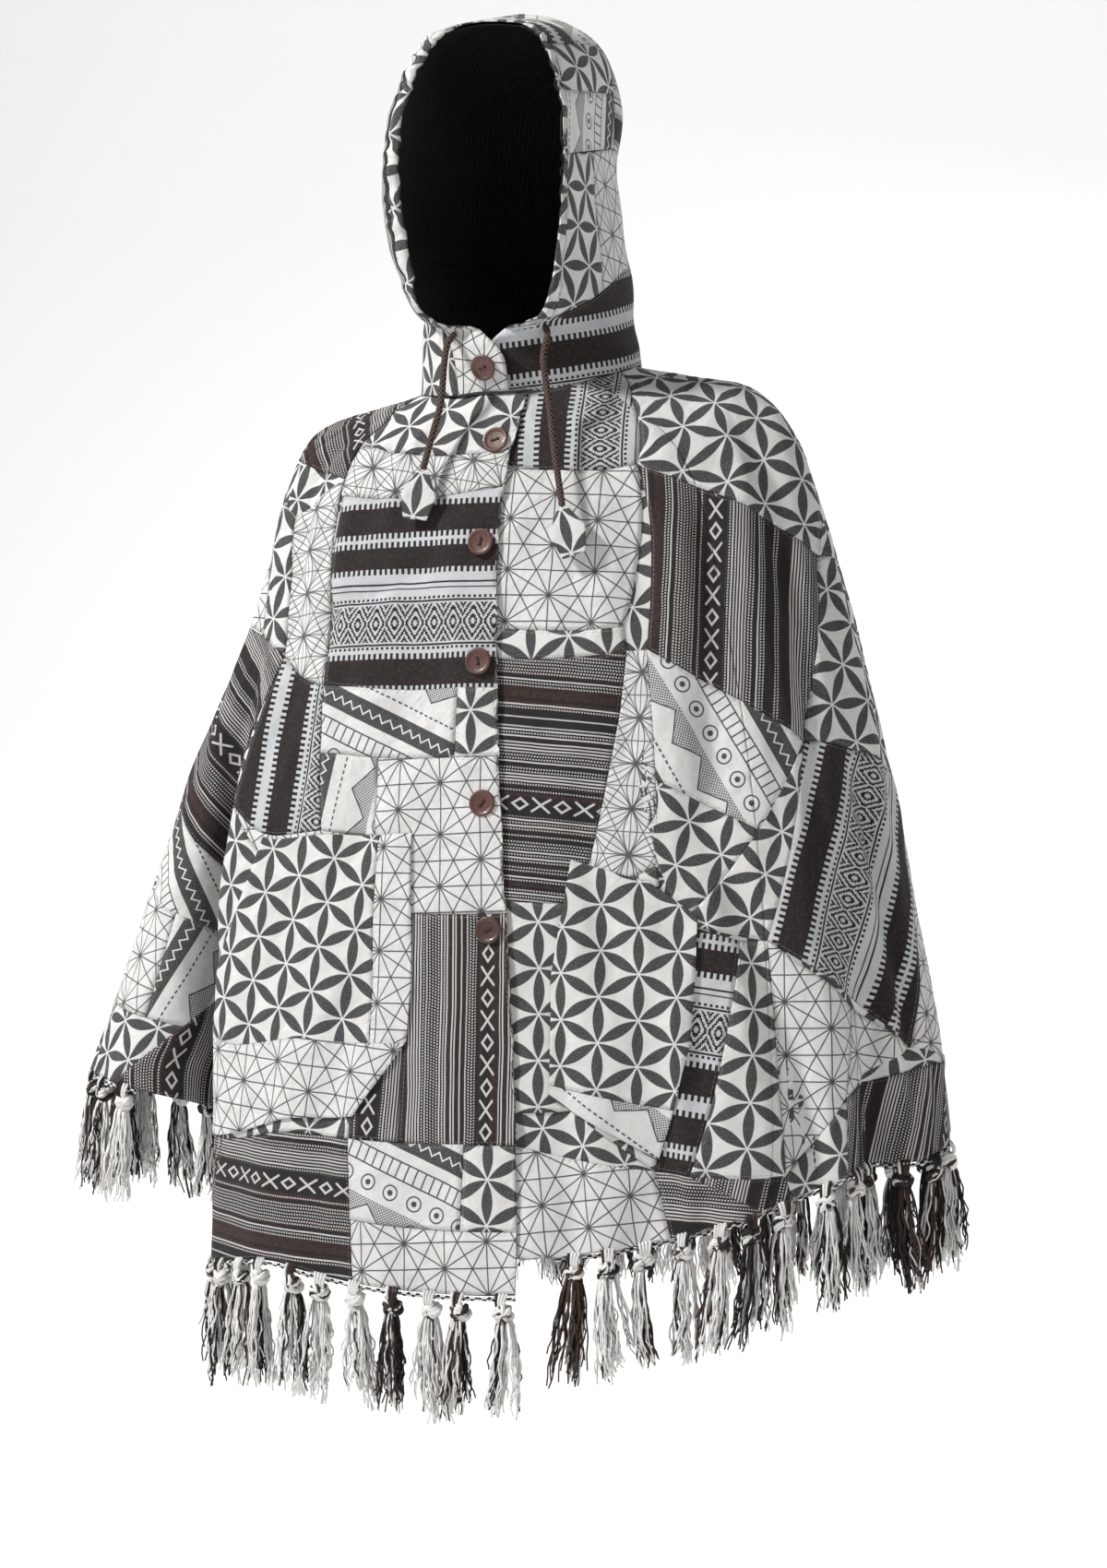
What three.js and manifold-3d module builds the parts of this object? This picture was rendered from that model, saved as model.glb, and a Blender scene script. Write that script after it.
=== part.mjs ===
// A hooded, button-front patchwork poncho, worn: the cloth hangs as it does over shoulders and
// arms, and the hood is up. Millimetres, +Z up. The wearer faces -Y, the wearer's left is +X, and
// the origin is the middle of the neck's base, where the shoulders carry the poncho.
import * as THREE from "three";
import { mergeVertices } from "three/addons/utils/BufferGeometryUtils.js";
import Module from "manifold-3d";

const CLOTH = 2.0; // thickness of the woven cotton
const SEAM_GAP = 0.6; // between two pieces along a seam
const BODY_ROWS = 16; // steps from the neck seam to the hem
const PLACKET_LIFT = 3.2; // how far the upper front stands off the body over the under front
const PLACKET_SPREAD = 40; // width over which it comes back to the body
const UNDERLAP = 32; // width of the under front beneath the upper one
const PATCH_POCKET = 1.6; // thickness of a pocket
const POCKET_GAP = 0.4; // between a pocket and the front it is sewn on
const HOOD_ROWS = 14; // steps from the neck seam to the crown
const HOOD_COLUMNS = 12; // steps from the face opening to the centre back
const THROAT_OVERLAP = 13; // how far each half of the hood passes the middle at the throat
const THROAT_LIFT = 5.8; // how far the upper half stands off the lower one there
const HOOD_LEAN = -10; // how far the hood leans towards the wearer's right
const RIM_CURL = 16; // how much further in the edge of the opening is on the right
const RIGHT_FULLNESS = 10; // how much fuller the right half is
const LINING = 1.2; // thickness of the hood's lining
const LINING_GAP = 1.4; // between the hood and its lining
const BUTTON_D = 24;
const BUTTON_T = 3.2;
const HOLE_D = 2.6; // of a button's two holes
const HOLE_PITCH = 5.6;
const CORD_D = 6.0;
const TAB_T = 5.0; // thickness of the folded cloth tab at a cord's end
const STRIP_H = 6; // height of the narrow strip that carries the tassels
const TASSEL_PITCH = 40; // along the hem
const KNOT_D = 17; // width of a tassel's knot
const KNOT_H = 22;
const TASSEL_L = 92; // mean length of a tassel below its knot
const LOCKS = 2; // locks in a tassel
const LOCK_TOP = 9; // width of a lock at its knot
const LOCK_END = 12; // and at its end

const rad = THREE.MathUtils.degToRad;
const smooth = (x) => THREE.MathUtils.smoothstep(x, 0, 1);

// The plan outline at each level, from the neck seam to the hem. down: share of the way down.
// right, left: half widths. front, back: depths. zf, zr, zl, zb: heights at the front, the right
// side, the left side and the back. square: how far the outline is from an ellipse, which is 2.
const LEVELS = [
  { down: 0.0, right: 104, left: 104, front: 84, back: 68, zf: -22, zr: -10, zl: 8, zb: 14, square: 2.0 },
  { down: 0.08, right: 150, left: 150, front: 104, back: 86, zf: -62, zr: -22, zl: -2, zb: 0, square: 2.1 },
  { down: 0.15, right: 209, left: 207, front: 118, back: 98, zf: -112, zr: -40, zl: -15, zb: -38, square: 2.2 },
  { down: 0.22, right: 238, left: 246, front: 127, back: 107, zf: -170, zr: -86, zl: -56, zb: -92, square: 2.3 },
  { down: 0.32, right: 258, left: 276, front: 138, back: 118, zf: -254, zr: -168, zl: -136, zb: -172, square: 2.35 },
  { down: 0.46, right: 302, left: 312, front: 150, back: 130, zf: -372, zr: -280, zl: -258, zb: -290, square: 2.35 },
  { down: 0.62, right: 350, left: 347, front: 164, back: 146, zf: -508, zr: -404, zl: -402, zb: -424, square: 2.3 },
  { down: 0.8, right: 394, left: 377, front: 180, back: 164, zf: -656, zr: -524, zl: -546, zb: -580, square: 2.25 },
  { down: 1.0, right: 434, left: 394, front: 196, back: 182, zf: -812, zr: -636, zl: -686, zb: -740, square: 2.2 },
];

// Folds that run down the cloth. top, hem: angle round the body at each end, 0 at the front and
// growing to the wearer's left. width: half width in degrees. deep: how far it goes in at the hem.
// from, to: where along the way down it begins and is whole. pinch: how far its sides close in.
const FOLDS = [
  { top: -67, hem: -44, width: 8.5, deep: 104, from: 0.26, to: 0.95, pinch: 54 },
  { top: 60, hem: 66, width: 7, deep: 36, from: 0.5, to: 1.0, pinch: 8 },
  { top: -26, hem: -33, width: 8, deep: 15, from: 0.4, to: 1.0, pinch: 0 },
  { top: 22, hem: 27, width: 8, deep: 17, from: 0.4, to: 1.0, pinch: 0 },
  { top: 45, hem: 47, width: 6, deep: 14, from: 0.5, to: 1.0, pinch: 0 },
  { top: 98, hem: 104, width: 8, deep: 24, from: 0.42, to: 1.0, pinch: 0 },
  { top: -92, hem: -95, width: 7, deep: 22, from: 0.42, to: 1.0, pinch: 0 },
  { top: 126, hem: 132, width: 9, deep: 38, from: 0.32, to: 1.0, pinch: 6 },
  { top: 154, hem: 157, width: 8, deep: 32, from: 0.36, to: 1.0, pinch: 4 },
  { top: -178, hem: -177, width: 8, deep: 30, from: 0.36, to: 1.0, pinch: 4 },
  { top: -152, hem: -152, width: 8, deep: 34, from: 0.36, to: 1.0, pinch: 4 },
  { top: -122, hem: -126, width: 9, deep: 38, from: 0.32, to: 1.0, pinch: 6 },
];

// The hood's right half at each level, mirrored for the left. up: share of the way up. xe, ye, ze:
// the edge of the face opening. half: half width. zs: height at the side. yb, zb: the centre back.
const HOOD = [
  { up: 0.0, xe: 0, ye: -86, ze: -20, half: 104, zs: 0, yb: 68, zb: 14 },
  { up: 0.14, xe: 2, ye: -96, ze: 14, half: 101, zs: 34, yb: 70, zb: 44 },
  { up: 0.22, xe: 12, ye: -102, ze: 34, half: 97, zs: 62, yb: 74, zb: 68 },
  { up: 0.3, xe: 50, ye: -110, ze: 44, half: 93, zs: 92, yb: 79, zb: 98 },
  { up: 0.38, xe: 70, ye: -117, ze: 74, half: 91, zs: 122, yb: 85, zb: 130 },
  { up: 0.52, xe: 84, ye: -124, ze: 142, half: 92, zs: 178, yb: 92, zb: 182 },
  { up: 0.66, xe: 86, ye: -123, ze: 212, half: 91, zs: 229, yb: 94, zb: 229 },
  { up: 0.78, xe: 74, ye: -117, ze: 260, half: 82, zs: 278, yb: 86, zb: 269 },
  { up: 0.88, xe: 54, ye: -109, ze: 296, half: 61, zs: 315, yb: 74, zb: 301 },
  { up: 0.95, xe: 28, ye: -103, ze: 308, half: 34, zs: 332, yb: 60, zb: 320 },
  { up: 1.0, xe: 0.2, ye: -99, ze: 312, half: 0.2, zs: 338, yb: 48, zb: 330 },
];

// The body's pieces. from, to: angles at the neck and at the hem of each long edge.
const PANELS = [
  { name: "side_right", from: [-128, -124], to: [-67, -46], columns: 13 },
  { name: "front_left", from: "under", to: [50, 42], columns: 10 },
  { name: "side_left", from: [50, 42], to: [122, 120], columns: 14 },
  { name: "back", from: [122, 120], to: [232, 236], columns: 20 },
];
const FRONT_RIGHT_EDGE = [-67, -46];
const FRONT_RIGHT_COLUMNS = 17;

// Buttons on the placket. down: share of the way down. clear: from the cloth's curve to the
// button. turn: of the holes. tone: its colour.
const BUTTONS = [
  { down: 0.086, clear: -0.3, turn: 20, tone: 0x8c665b },
  { down: 0.204, clear: 0.6, turn: 75, tone: 0x84604f },
  { down: 0.33, clear: 0.6, turn: 100, tone: 0x8a6352 },
  { down: 0.478, clear: 0.6, turn: 55, tone: 0x6b4a40 },
  { down: 0.608, clear: 0.6, turn: 30, tone: 0x5a3c33 },
];
const BUTTON_INSET = 16; // from the placket's edge to a button's middle

// The pockets' outlines, seen from the front: across and height.
const POCKETS = [
  {
    name: "pocket_right",
    panel: "front_right",
    outline: [
      { x: -214, z: -418 },
      { x: -56, z: -413 },
      { x: -50, z: -549 },
      { x: -54, z: -597 },
      { x: -104, z: -655 },
      { x: -106, z: -668 },
      { x: -246, z: -694 },
      { x: -236, z: -560 },
    ],
  },
  {
    name: "pocket_left",
    panel: "front_left",
    outline: [
      { x: 88, z: -431 },
      { x: 160, z: -455 },
      { x: 217, z: -490 },
      { x: 208, z: -592 },
      { x: 190, z: -703 },
      { x: 78, z: -641 },
      { x: 76, z: -539 },
    ],
  },
];

// The hood's drawcords, each from its hole in the casing down to its tab. side: of the hood. u,
// up: where the hole is on it.
const CORDS = [
  {
    name: "cord_right",
    tab: "cord_tab_right",
    tilt: 12,
    hole: { side: -1, u: 0.0833, up: 0.2143, clear: 1.34 },
    route: [
      { x: -40, y: -116, z: 6 },
      { x: -43, y: -117, z: -30 },
      { x: -50, y: -122, z: -62 },
      { x: -56, y: -127, z: -90 },
    ],
  },
  {
    name: "cord_left",
    tab: "cord_tab_left",
    tilt: -14,
    hole: { side: 1, u: 0.12, up: 0.2143, clear: 0.1 },
    route: [
      { x: 52, y: -111, z: 6 },
      { x: 57, y: -111, z: -30 },
      { x: 66, y: -121, z: -76 },
      { x: 77, y: -131, z: -126 },
    ],
  },
];

const CREAM = 0xd9d8d2;
const STRIPE = 0x59504c;

function linen(color) {
  return new THREE.MeshStandardMaterial({ color, roughness: 0.92, metalness: 0.0 });
}

/** The polished coconut of a button. */
function shell(color) {
  return new THREE.MeshStandardMaterial({ color, roughness: 0.55, metalness: 0.0 });
}

/** The row of a table at share s of the way, joined smoothly through its rows. */
function along(table, key, s) {
  let k = 0;
  while (k < table.length - 2 && table[k + 1][key] <= s) k += 1;
  const at = (i) => table[Math.min(table.length - 1, Math.max(0, i))];
  const slope = (i, name) => (at(i + 1)[name] - at(i - 1)[name]) / (at(i + 1)[key] - at(i - 1)[key]);
  const h = table[k + 1][key] - table[k][key];
  const f = (s - table[k][key]) / h;
  const row = {};
  for (const name of Object.keys(table[0])) {
    const a = (2 * f ** 3 - 3 * f ** 2 + 1) * table[k][name] + (3 * f ** 2 - 2 * f ** 3) * table[k + 1][name];
    row[name] = a + h * ((f ** 3 - 2 * f ** 2 + f) * slope(k, name) + (f ** 3 - f ** 2) * slope(k + 1, name));
  }
  return row;
}

/** A point of the body's outer face, at an angle round it and a share of the way down. */
function bodyPoint(angle, down) {
  const level = along(LEVELS, "down", down);
  let deep = 0;
  let shift = 0;
  for (const fold of FOLDS) {
    const grown = smooth((down - fold.from) / (fold.to - fold.from));
    const centre = fold.top + (fold.hem - fold.top) * down;
    const off = (THREE.MathUtils.euclideanModulo(angle - centre + 180, 360) - 180) / fold.width;
    deep += fold.deep * grown * Math.exp(-off * off);
    shift -= fold.pinch * grown * off ** 3 * Math.exp(-off * off);
  }
  const s = Math.sin(rad(angle));
  const c = Math.cos(rad(angle));
  const half = s < 0 ? level.right : level.left;
  const depth = c > 0 ? level.front : level.back;
  const power = 2 / level.square;
  const x = half * Math.sign(s) * Math.abs(s) ** power;
  const y = -depth * Math.sign(c) * Math.abs(c) ** power;
  const side = s < 0 ? level.zr : level.zl;
  const end = c > 0 ? level.zf : level.zb;
  const z = side + (end - side) * Math.abs(c) ** 1.6 - frontDrop(angle, down);
  const out = new THREE.Vector2(x / (half * half), y / (depth * depth)).normalize();
  return new THREE.Vector3(x - out.x * deep - out.y * shift, y - out.y * deep + out.x * shift, z);
}

/** How much lower the cloth hangs: the front's edge at the deep fold hangs down, and the cloth over
 * the arm beside it is held up. */
function frontDrop(angle, down) {
  const low = smooth((angle + 46) / 12) * (1 - smooth((angle + 38) / 18));
  const high = smooth((angle + 88) / 38) * (1 - smooth((angle + 48) / 10));
  return down * down * (40 * low - 57 * high);
}

/** The share of the way down at which the cloth ends: the left front is cut shorter. */
function hemShare(angle) {
  return 1 - 0.041 * (1 - smooth((angle - 54) / 26));
}

/** Where the placket's edge is, to the wearer's left of the middle. */
function placketX(down) {
  return 16 + 10 * (1 - smooth(down / 0.2)) + 42 * smooth((down - 0.2) / 0.8);
}

/** The angle at which the front is x to the wearer's left of the middle. */
function frontAngle(x, down) {
  const level = along(LEVELS, "down", down);
  const half = x < 0 ? level.right : level.left;
  return Math.sign(x) * THREE.MathUtils.radToDeg(Math.asin((Math.abs(x) / half) ** (level.square / 2)));
}

/** The outward direction of a surface given as a function of two numbers. */
function normalOf(point, u, v, du, dv) {
  const a = point(u + du, v).sub(point(u - du, v));
  const b = point(u, v + dv).sub(point(u, v - dv));
  return b.cross(a).normalize();
}

function bodyNormal(angle, down) {
  const low = Math.max(0.002, Math.min(0.998, down));
  return normalOf(bodyPoint, angle, low, 0.4, 0.002);
}

/** How far the right front stands off the body near its free edge. */
function placketLift(angle, down) {
  const away = placketX(down) - bodyPoint(angle, down).x;
  return PLACKET_LIFT * (1 - smooth((away - UNDERLAP) / PLACKET_SPREAD));
}

/** A closed wall: an outer grid of points, an inner one, and the four edges between them. */
function wall(columns, rows, outer, inner) {
  const points = [];
  for (const face of [outer, inner]) {
    for (let j = 0; j <= rows; j += 1) {
      for (let i = 0; i <= columns; i += 1) points.push(...face(i / columns, j / rows).toArray());
    }
  }
  const at = (side, i, j) => side * (columns + 1) * (rows + 1) + j * (columns + 1) + i;
  const index = [];
  const quad = (a, b, c, d) => index.push(a, b, c, a, c, d);
  for (let j = 0; j < rows; j += 1) {
    for (let i = 0; i < columns; i += 1) {
      quad(at(0, i, j), at(0, i, j + 1), at(0, i + 1, j + 1), at(0, i + 1, j));
      quad(at(1, i, j), at(1, i + 1, j), at(1, i + 1, j + 1), at(1, i, j + 1));
    }
  }
  for (let i = 0; i < columns; i += 1) {
    quad(at(0, i, 0), at(0, i + 1, 0), at(1, i + 1, 0), at(1, i, 0));
    quad(at(0, i + 1, rows), at(0, i, rows), at(1, i, rows), at(1, i + 1, rows));
  }
  for (let j = 0; j < rows; j += 1) {
    quad(at(0, 0, j + 1), at(0, 0, j), at(1, 0, j), at(1, 0, j + 1));
    quad(at(0, columns, j), at(0, columns, j + 1), at(1, columns, j + 1), at(1, columns, j));
  }
  const geometry = new THREE.BufferGeometry();
  geometry.setAttribute("position", new THREE.Float32BufferAttribute(points, 3));
  geometry.setIndex(index);
  geometry.computeVertexNormals();
  return geometry;
}

/** Angles across a panel, closer together at the deep fold and the placket. */
function spread(from, to, u, down) {
  const steps = 60;
  const fold = FOLDS[0].top + (FOLDS[0].hem - FOLDS[0].top) * down;
  const weight = (a) => 1 + 3.2 * Math.exp(-(((a - fold) / 11) ** 2)) + 1.6 * Math.exp(-(((a - 1) / 10) ** 2));
  const sums = [0];
  for (let k = 0; k < steps; k += 1) {
    sums.push(sums[k] + weight(from + ((to - from) * (k + 0.5)) / steps));
  }
  const want = u * sums[steps];
  let k = 0;
  while (k < steps - 1 && sums[k + 1] < want) k += 1;
  return from + ((to - from) * (k + (want - sums[k]) / (sums[k + 1] - sums[k]))) / steps;
}

/** The angle of a seam, moved half a seam's gap to one side. */
function seamAngle(edge, down, side) {
  const angle = edge[0] + (edge[1] - edge[0]) * down;
  const degree = bodyPoint(angle + 0.5, down).distanceTo(bodyPoint(angle - 0.5, down));
  return angle + (side * SEAM_GAP) / 2 / degree;
}

/** A function for one panel's points, between two long edges, moved in by a depth. */
function bodyFace(from, to, lift, share) {
  return (depth) => (u, v) => {
    const angle = spread(from(v), to(v), u, v);
    const down = v * share(angle);
    const out = bodyNormal(angle, down);
    return bodyPoint(angle, down).addScaledVector(out, lift(angle, down) - depth);
  };
}

/** A point of one half of the hood. u goes from the face opening to the centre back, up from the
 * neck seam to the crown. side: -1 the wearer's right, 1 the left. across: how far the edge at the
 * throat passes the middle. */
function hoodPoint(side, u, up, across) {
  const row = along(HOOD, "up", up);
  const turn = 0.42;
  const full = side < 0 ? smooth((up - 0.3) / 0.15) * (1 - smooth((up - 0.88) / 0.12)) : 0;
  const half = row.half + RIGHT_FULLNESS * full;
  const xe = row.xe - RIM_CURL * full - across * (1 - smooth((up - 0.12) / 0.12));
  let x;
  let y;
  let z;
  if (u < turn) {
    const g = (u / turn) * Math.PI * 0.5;
    x = xe + (half - xe) * Math.sin(g) ** (1 - 0.4 * full);
    y = row.ye * Math.cos(g);
    z = row.ze + (row.zs - row.ze) * (1 - Math.cos(g));
  } else {
    const g = ((u - turn) / (1 - turn)) * Math.PI * 0.5;
    x = half * Math.cos(g);
    y = row.yb * Math.sin(g);
    z = row.zs + (row.zb - row.zs) * Math.sin(g) ** 2;
  }
  const angle = THREE.MathUtils.radToDeg(Math.atan2((side * x) / 104, -y / (y < 0 ? 84 : 68)));
  const foot = bodyPoint(angle, 0);
  const raised = smooth((placketX(0) + 10 - foot.x) / 10) * (1 - smooth((-foot.x - 10) / 40));
  foot.z += SEAM_GAP * 2 + PLACKET_LIFT * raised;
  return new THREE.Vector3(side * x, y, z).lerp(foot, 1 - smooth(up / 0.14));
}

function hoodNormal(side, u, up) {
  const u1 = THREE.MathUtils.clamp(u, 0.01, 0.99);
  const v1 = THREE.MathUtils.clamp(up, 0.01, 0.985);
  const out = normalOf((a, b) => hoodPoint(side, a, b, 0), u1, v1, 0.01, 0.01);
  out.z *= smooth(up / 0.1);
  return out.normalize().multiplyScalar(-side);
}

/** Soft creases, and the gathers that the drawcord makes along the face opening. */
function hoodCrease(side, u, up) {
  const gathers = 1.5 * Math.sin(up * 74) * Math.exp(-u * 9);
  const sags = 4.5 * Math.sin(up * 15 + u * 3 + side) * Math.sin(Math.PI * Math.min(1, u * 1.1));
  const ends = smooth((up - 0.1) / 0.15) * smooth((1 - up) / 0.15) * smooth((1 - u) / 0.15);
  return (gathers + sags) * ends;
}

/** A function for the points of half of the hood, moved in by a depth. */
function hoodFace(side, depth) {
  return (u, up) => {
    const throat = 1 - smooth((up - 0.13) / 0.12);
    const over = side < 0 ? THROAT_LIFT * (1 - smooth((u - 0.12) / 0.2)) * throat : 0;
    const point = hoodPoint(side, u, up, THROAT_OVERLAP);
    const out = hoodNormal(side, u, up);
    point.addScaledVector(out, hoodCrease(side, u, up) + over - depth);
    const past = u < 0.3 && up < 0.26 ? -THROAT_OVERLAP * 2 : SEAM_GAP / 2;
    point.x = side * Math.max(side * point.x, past) + HOOD_LEAN * smooth((up - 0.2) / 0.25);
    return point;
  };
}

/** Half of the hood, or of its lining, which leaves out the first rows and the casing's width. */
function hoodHalf(side, depth, thickness, firstRow, firstColumn) {
  const outer = hoodFace(side, depth);
  const inner = hoodFace(side, depth + thickness);
  const rows = HOOD_ROWS - firstRow;
  const columns = HOOD_COLUMNS - firstColumn;
  const place = (face) => (u, v) => {
    return face((firstColumn + u * columns) / HOOD_COLUMNS, (firstRow + v * rows) / HOOD_ROWS);
  };
  if (side < 0) return wall(columns, rows, place(outer), place(inner));
  return wall(columns, rows, place(inner), place(outer));
}

function toManifold(wasm, geometry) {
  const plain = new THREE.BufferGeometry();
  plain.setAttribute("position", geometry.getAttribute("position"));
  if (geometry.index) plain.setIndex(geometry.index);
  const whole = mergeVertices(plain, 1e-4);
  const vertProperties = new Float32Array(whole.getAttribute("position").array);
  const triVerts = new Uint32Array(whole.index.array);
  return new wasm.Manifold(new wasm.Mesh({ numProp: 3, vertProperties, triVerts }));
}

function fromManifold(solid) {
  const mesh = solid.getMesh();
  const geometry = new THREE.BufferGeometry();
  geometry.setAttribute("position", new THREE.Float32BufferAttribute(mesh.vertProperties, 3));
  geometry.setIndex(Array.from(mesh.triVerts));
  geometry.computeVertexNormals();
  return geometry;
}

const wasm = await Module();
wasm.setup();

const poncho = new THREE.Group();
poncho.name = "poncho";

function add(name, geometry, material) {
  const mesh = new THREE.Mesh(geometry, material);
  mesh.name = name;
  poncho.add(mesh);
}

/** The narrow strip along one panel's hem, from one of its columns to another, with its tassels
 * fused to it. */
function fringe(face, columns, first, last, seed) {
  const hem = (k, depth, below) => {
    const edge = face(depth)(k / columns, 1);
    edge.z -= SEAM_GAP + below;
    return edge;
  };
  const side = (depth) => (u, v) => hem(first + u * (last - first), depth, v * STRIP_H);
  let whole = toManifold(wasm, wall(last - first, 1, side(0), side(CLOTH)));
  const steps = 200;
  const walk = [0];
  const at = (n) => {
    const k = first + ((last - first) * n) / steps;
    const low = Math.min(last - 1, Math.floor(k));
    return hem(low, CLOTH / 2, STRIP_H).lerp(hem(low + 1, CLOTH / 2, STRIP_H), k - low);
  };
  for (let k = 1; k <= steps; k += 1) walk.push(walk[k - 1] + at(k).distanceTo(at(k - 1)));
  const count = Math.round(walk[steps] / TASSEL_PITCH);
  for (let n = 0; n < count; n += 1) {
    const wobble = Math.sin((n + seed) * 2.4);
    const want = ((n + 0.5 + 0.12 * wobble) / count) * walk[steps];
    let k = 1;
    while (walk[k] < want) k += 1;
    const root = at(k);
    const onward = at(Math.min(steps, k + 3)).sub(at(k - 3 > 0 ? k - 3 : 0)).normalize();
    const knot = new THREE.OctahedronGeometry(1, 0);
    knot.scale(KNOT_D / 2, KNOT_D / 2, KNOT_H / 2);
    knot.rotateZ(Math.atan2(onward.y, onward.x));
    knot.translate(root.x, root.y, root.z - 8);
    whole = whole.add(toManifold(wasm, knot));
    for (let lock = 0; lock < LOCKS; lock += 1) {
      const sway = Math.sin((n + seed) * 1.7 + lock * 2.1);
      const length = TASSEL_L * (1 + 0.16 * Math.sin((n + seed) * 3.1 + lock * 1.3));
      const strand = new THREE.CylinderGeometry(LOCK_TOP / 2, LOCK_END / 2, length, 3, 1);
      strand.rotateX(Math.PI / 2);
      strand.translate(0, 0, -length / 2);
      strand.rotateZ(lock * 0.7 + n);
      strand.rotateY((lock - (LOCKS - 1) / 2) * -0.11 + 0.04 * sway);
      strand.rotateX(0.05 * Math.cos((n + seed) * 1.1 + lock * 2.6));
      strand.rotateZ(Math.atan2(onward.y, onward.x));
      strand.translate(root.x, root.y, root.z - 11);
      whole = whole.add(toManifold(wasm, strand));
    }
  }
  return fromManifold(whole);
}

/** A button with two holes through it, lying on the xy plane. */
function buttonShape() {
  const outline = new THREE.Shape().absarc(0, 0, BUTTON_D / 2 - 0.6, 0, Math.PI * 2);
  for (const side of [-1, 1]) {
    const rim = [0, 1, 2, 3, 4, 5].map((k) => {
      const turn = (k * Math.PI) / 3;
      const r = HOLE_D / 2 + 0.6;
      return new THREE.Vector2((side * HOLE_PITCH) / 2 + r * Math.cos(turn), r * Math.sin(turn));
    });
    outline.holes.push(new THREE.Path(rim));
  }
  const geometry = new THREE.ExtrudeGeometry(outline, {
    depth: BUTTON_T - 1.2,
    bevelThickness: 0.6,
    bevelSize: 0.6,
    bevelSegments: 1,
    curveSegments: 8,
  });
  geometry.translate(0, 0, 0.6);
  return geometry;
}

/** Turns a shape that lies on the xy plane to face a direction, and moves it there. */
function seat(geometry, point, out, turn) {
  geometry.rotateZ(rad(turn));
  const q = new THREE.Quaternion().setFromUnitVectors(new THREE.Vector3(0, 0, 1), out);
  geometry.applyQuaternion(q);
  geometry.translate(point.x, point.y, point.z);
  return geometry;
}

// The fronts, sides and back.
const flat = () => 0;
const whole = () => 1;
const placketEdge = (v) => frontAngle(placketX(v), v);
const underEdge = (v) => frontAngle(placketX(v) - UNDERLAP, v);
const panels = {};

function addPanel(name, from, to, columns, lift, share, color) {
  const face = bodyFace(from, to, lift, share);
  panels[name] = { face, columns };
  add(name, wall(columns, BODY_ROWS, face(0), face(CLOTH)), linen(color));
}

const foldEdge = (v) => seamAngle(FRONT_RIGHT_EDGE, v, 1);
addPanel("front_right", foldEdge, placketEdge, FRONT_RIGHT_COLUMNS, placketLift, whole, CREAM);
for (const panel of PANELS) {
  const from = panel.from === "under" ? underEdge : (v) => seamAngle(panel.from, v, 1);
  const colour = panel.name.startsWith("side") ? STRIPE : CREAM;
  const share = panel.name.endsWith("left") ? hemShare : whole;
  addPanel(panel.name, from, (v) => seamAngle(panel.to, v, -1), panel.columns, flat, share, colour);
}

// The hood and its lining, each of two halves joined down the middle.
const black = 0x161514;
const inside = CLOTH + LINING_GAP;
add("hood_right", hoodHalf(-1, 0, CLOTH, 0, 0), linen(CREAM));
add("hood_left", hoodHalf(1, 0, CLOTH, 0, 0), linen(CREAM));
add("hood_lining_right", hoodHalf(-1, inside, LINING, 5, 1), linen(black));
add("hood_lining_left", hoodHalf(1, inside, LINING, 5, 1), linen(black));

// The patch pockets, cut to their outlines from the cloth of the fronts, moved out.
for (const pocket of POCKETS) {
  const { face, columns } = panels[pocket.panel];
  const firstRow = 7;
  const rows = 8;
  const place = (depth) => (u, v) => face(depth)(u, (firstRow + v * rows) / BODY_ROWS);
  const slab = wall(columns, rows, place(-POCKET_GAP - PATCH_POCKET), place(-POCKET_GAP));
  const outline = new THREE.Shape(pocket.outline.map((p) => new THREE.Vector2(p.x, p.z)));
  const prism = new THREE.ExtrudeGeometry(outline, { depth: 300, bevelEnabled: false });
  prism.rotateX(Math.PI / 2);
  const cut = toManifold(wasm, slab).intersect(toManifold(wasm, prism));
  add(pocket.name, fromManifold(cut), linen(CREAM));
}

// The buttons: one at the throat, on the hood's front, and the rest down the placket.
const throat = hoodFace(-1, 0)(0.05, 0.11);
const throatOut = hoodNormal(-1, 0.05, 0.11);
add("button_1", seat(buttonShape(), throat, throatOut, 8), shell(0x8a6458));
BUTTONS.forEach((button, k) => {
  const angle = frontAngle(placketX(button.down) - BUTTON_INSET, button.down);
  const out = bodyNormal(angle, button.down);
  const point = bodyPoint(angle, button.down).addScaledVector(out, PLACKET_LIFT + button.clear);
  add(`button_${k + 2}`, seat(buttonShape(), point, out, button.turn), shell(button.tone));
});

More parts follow.
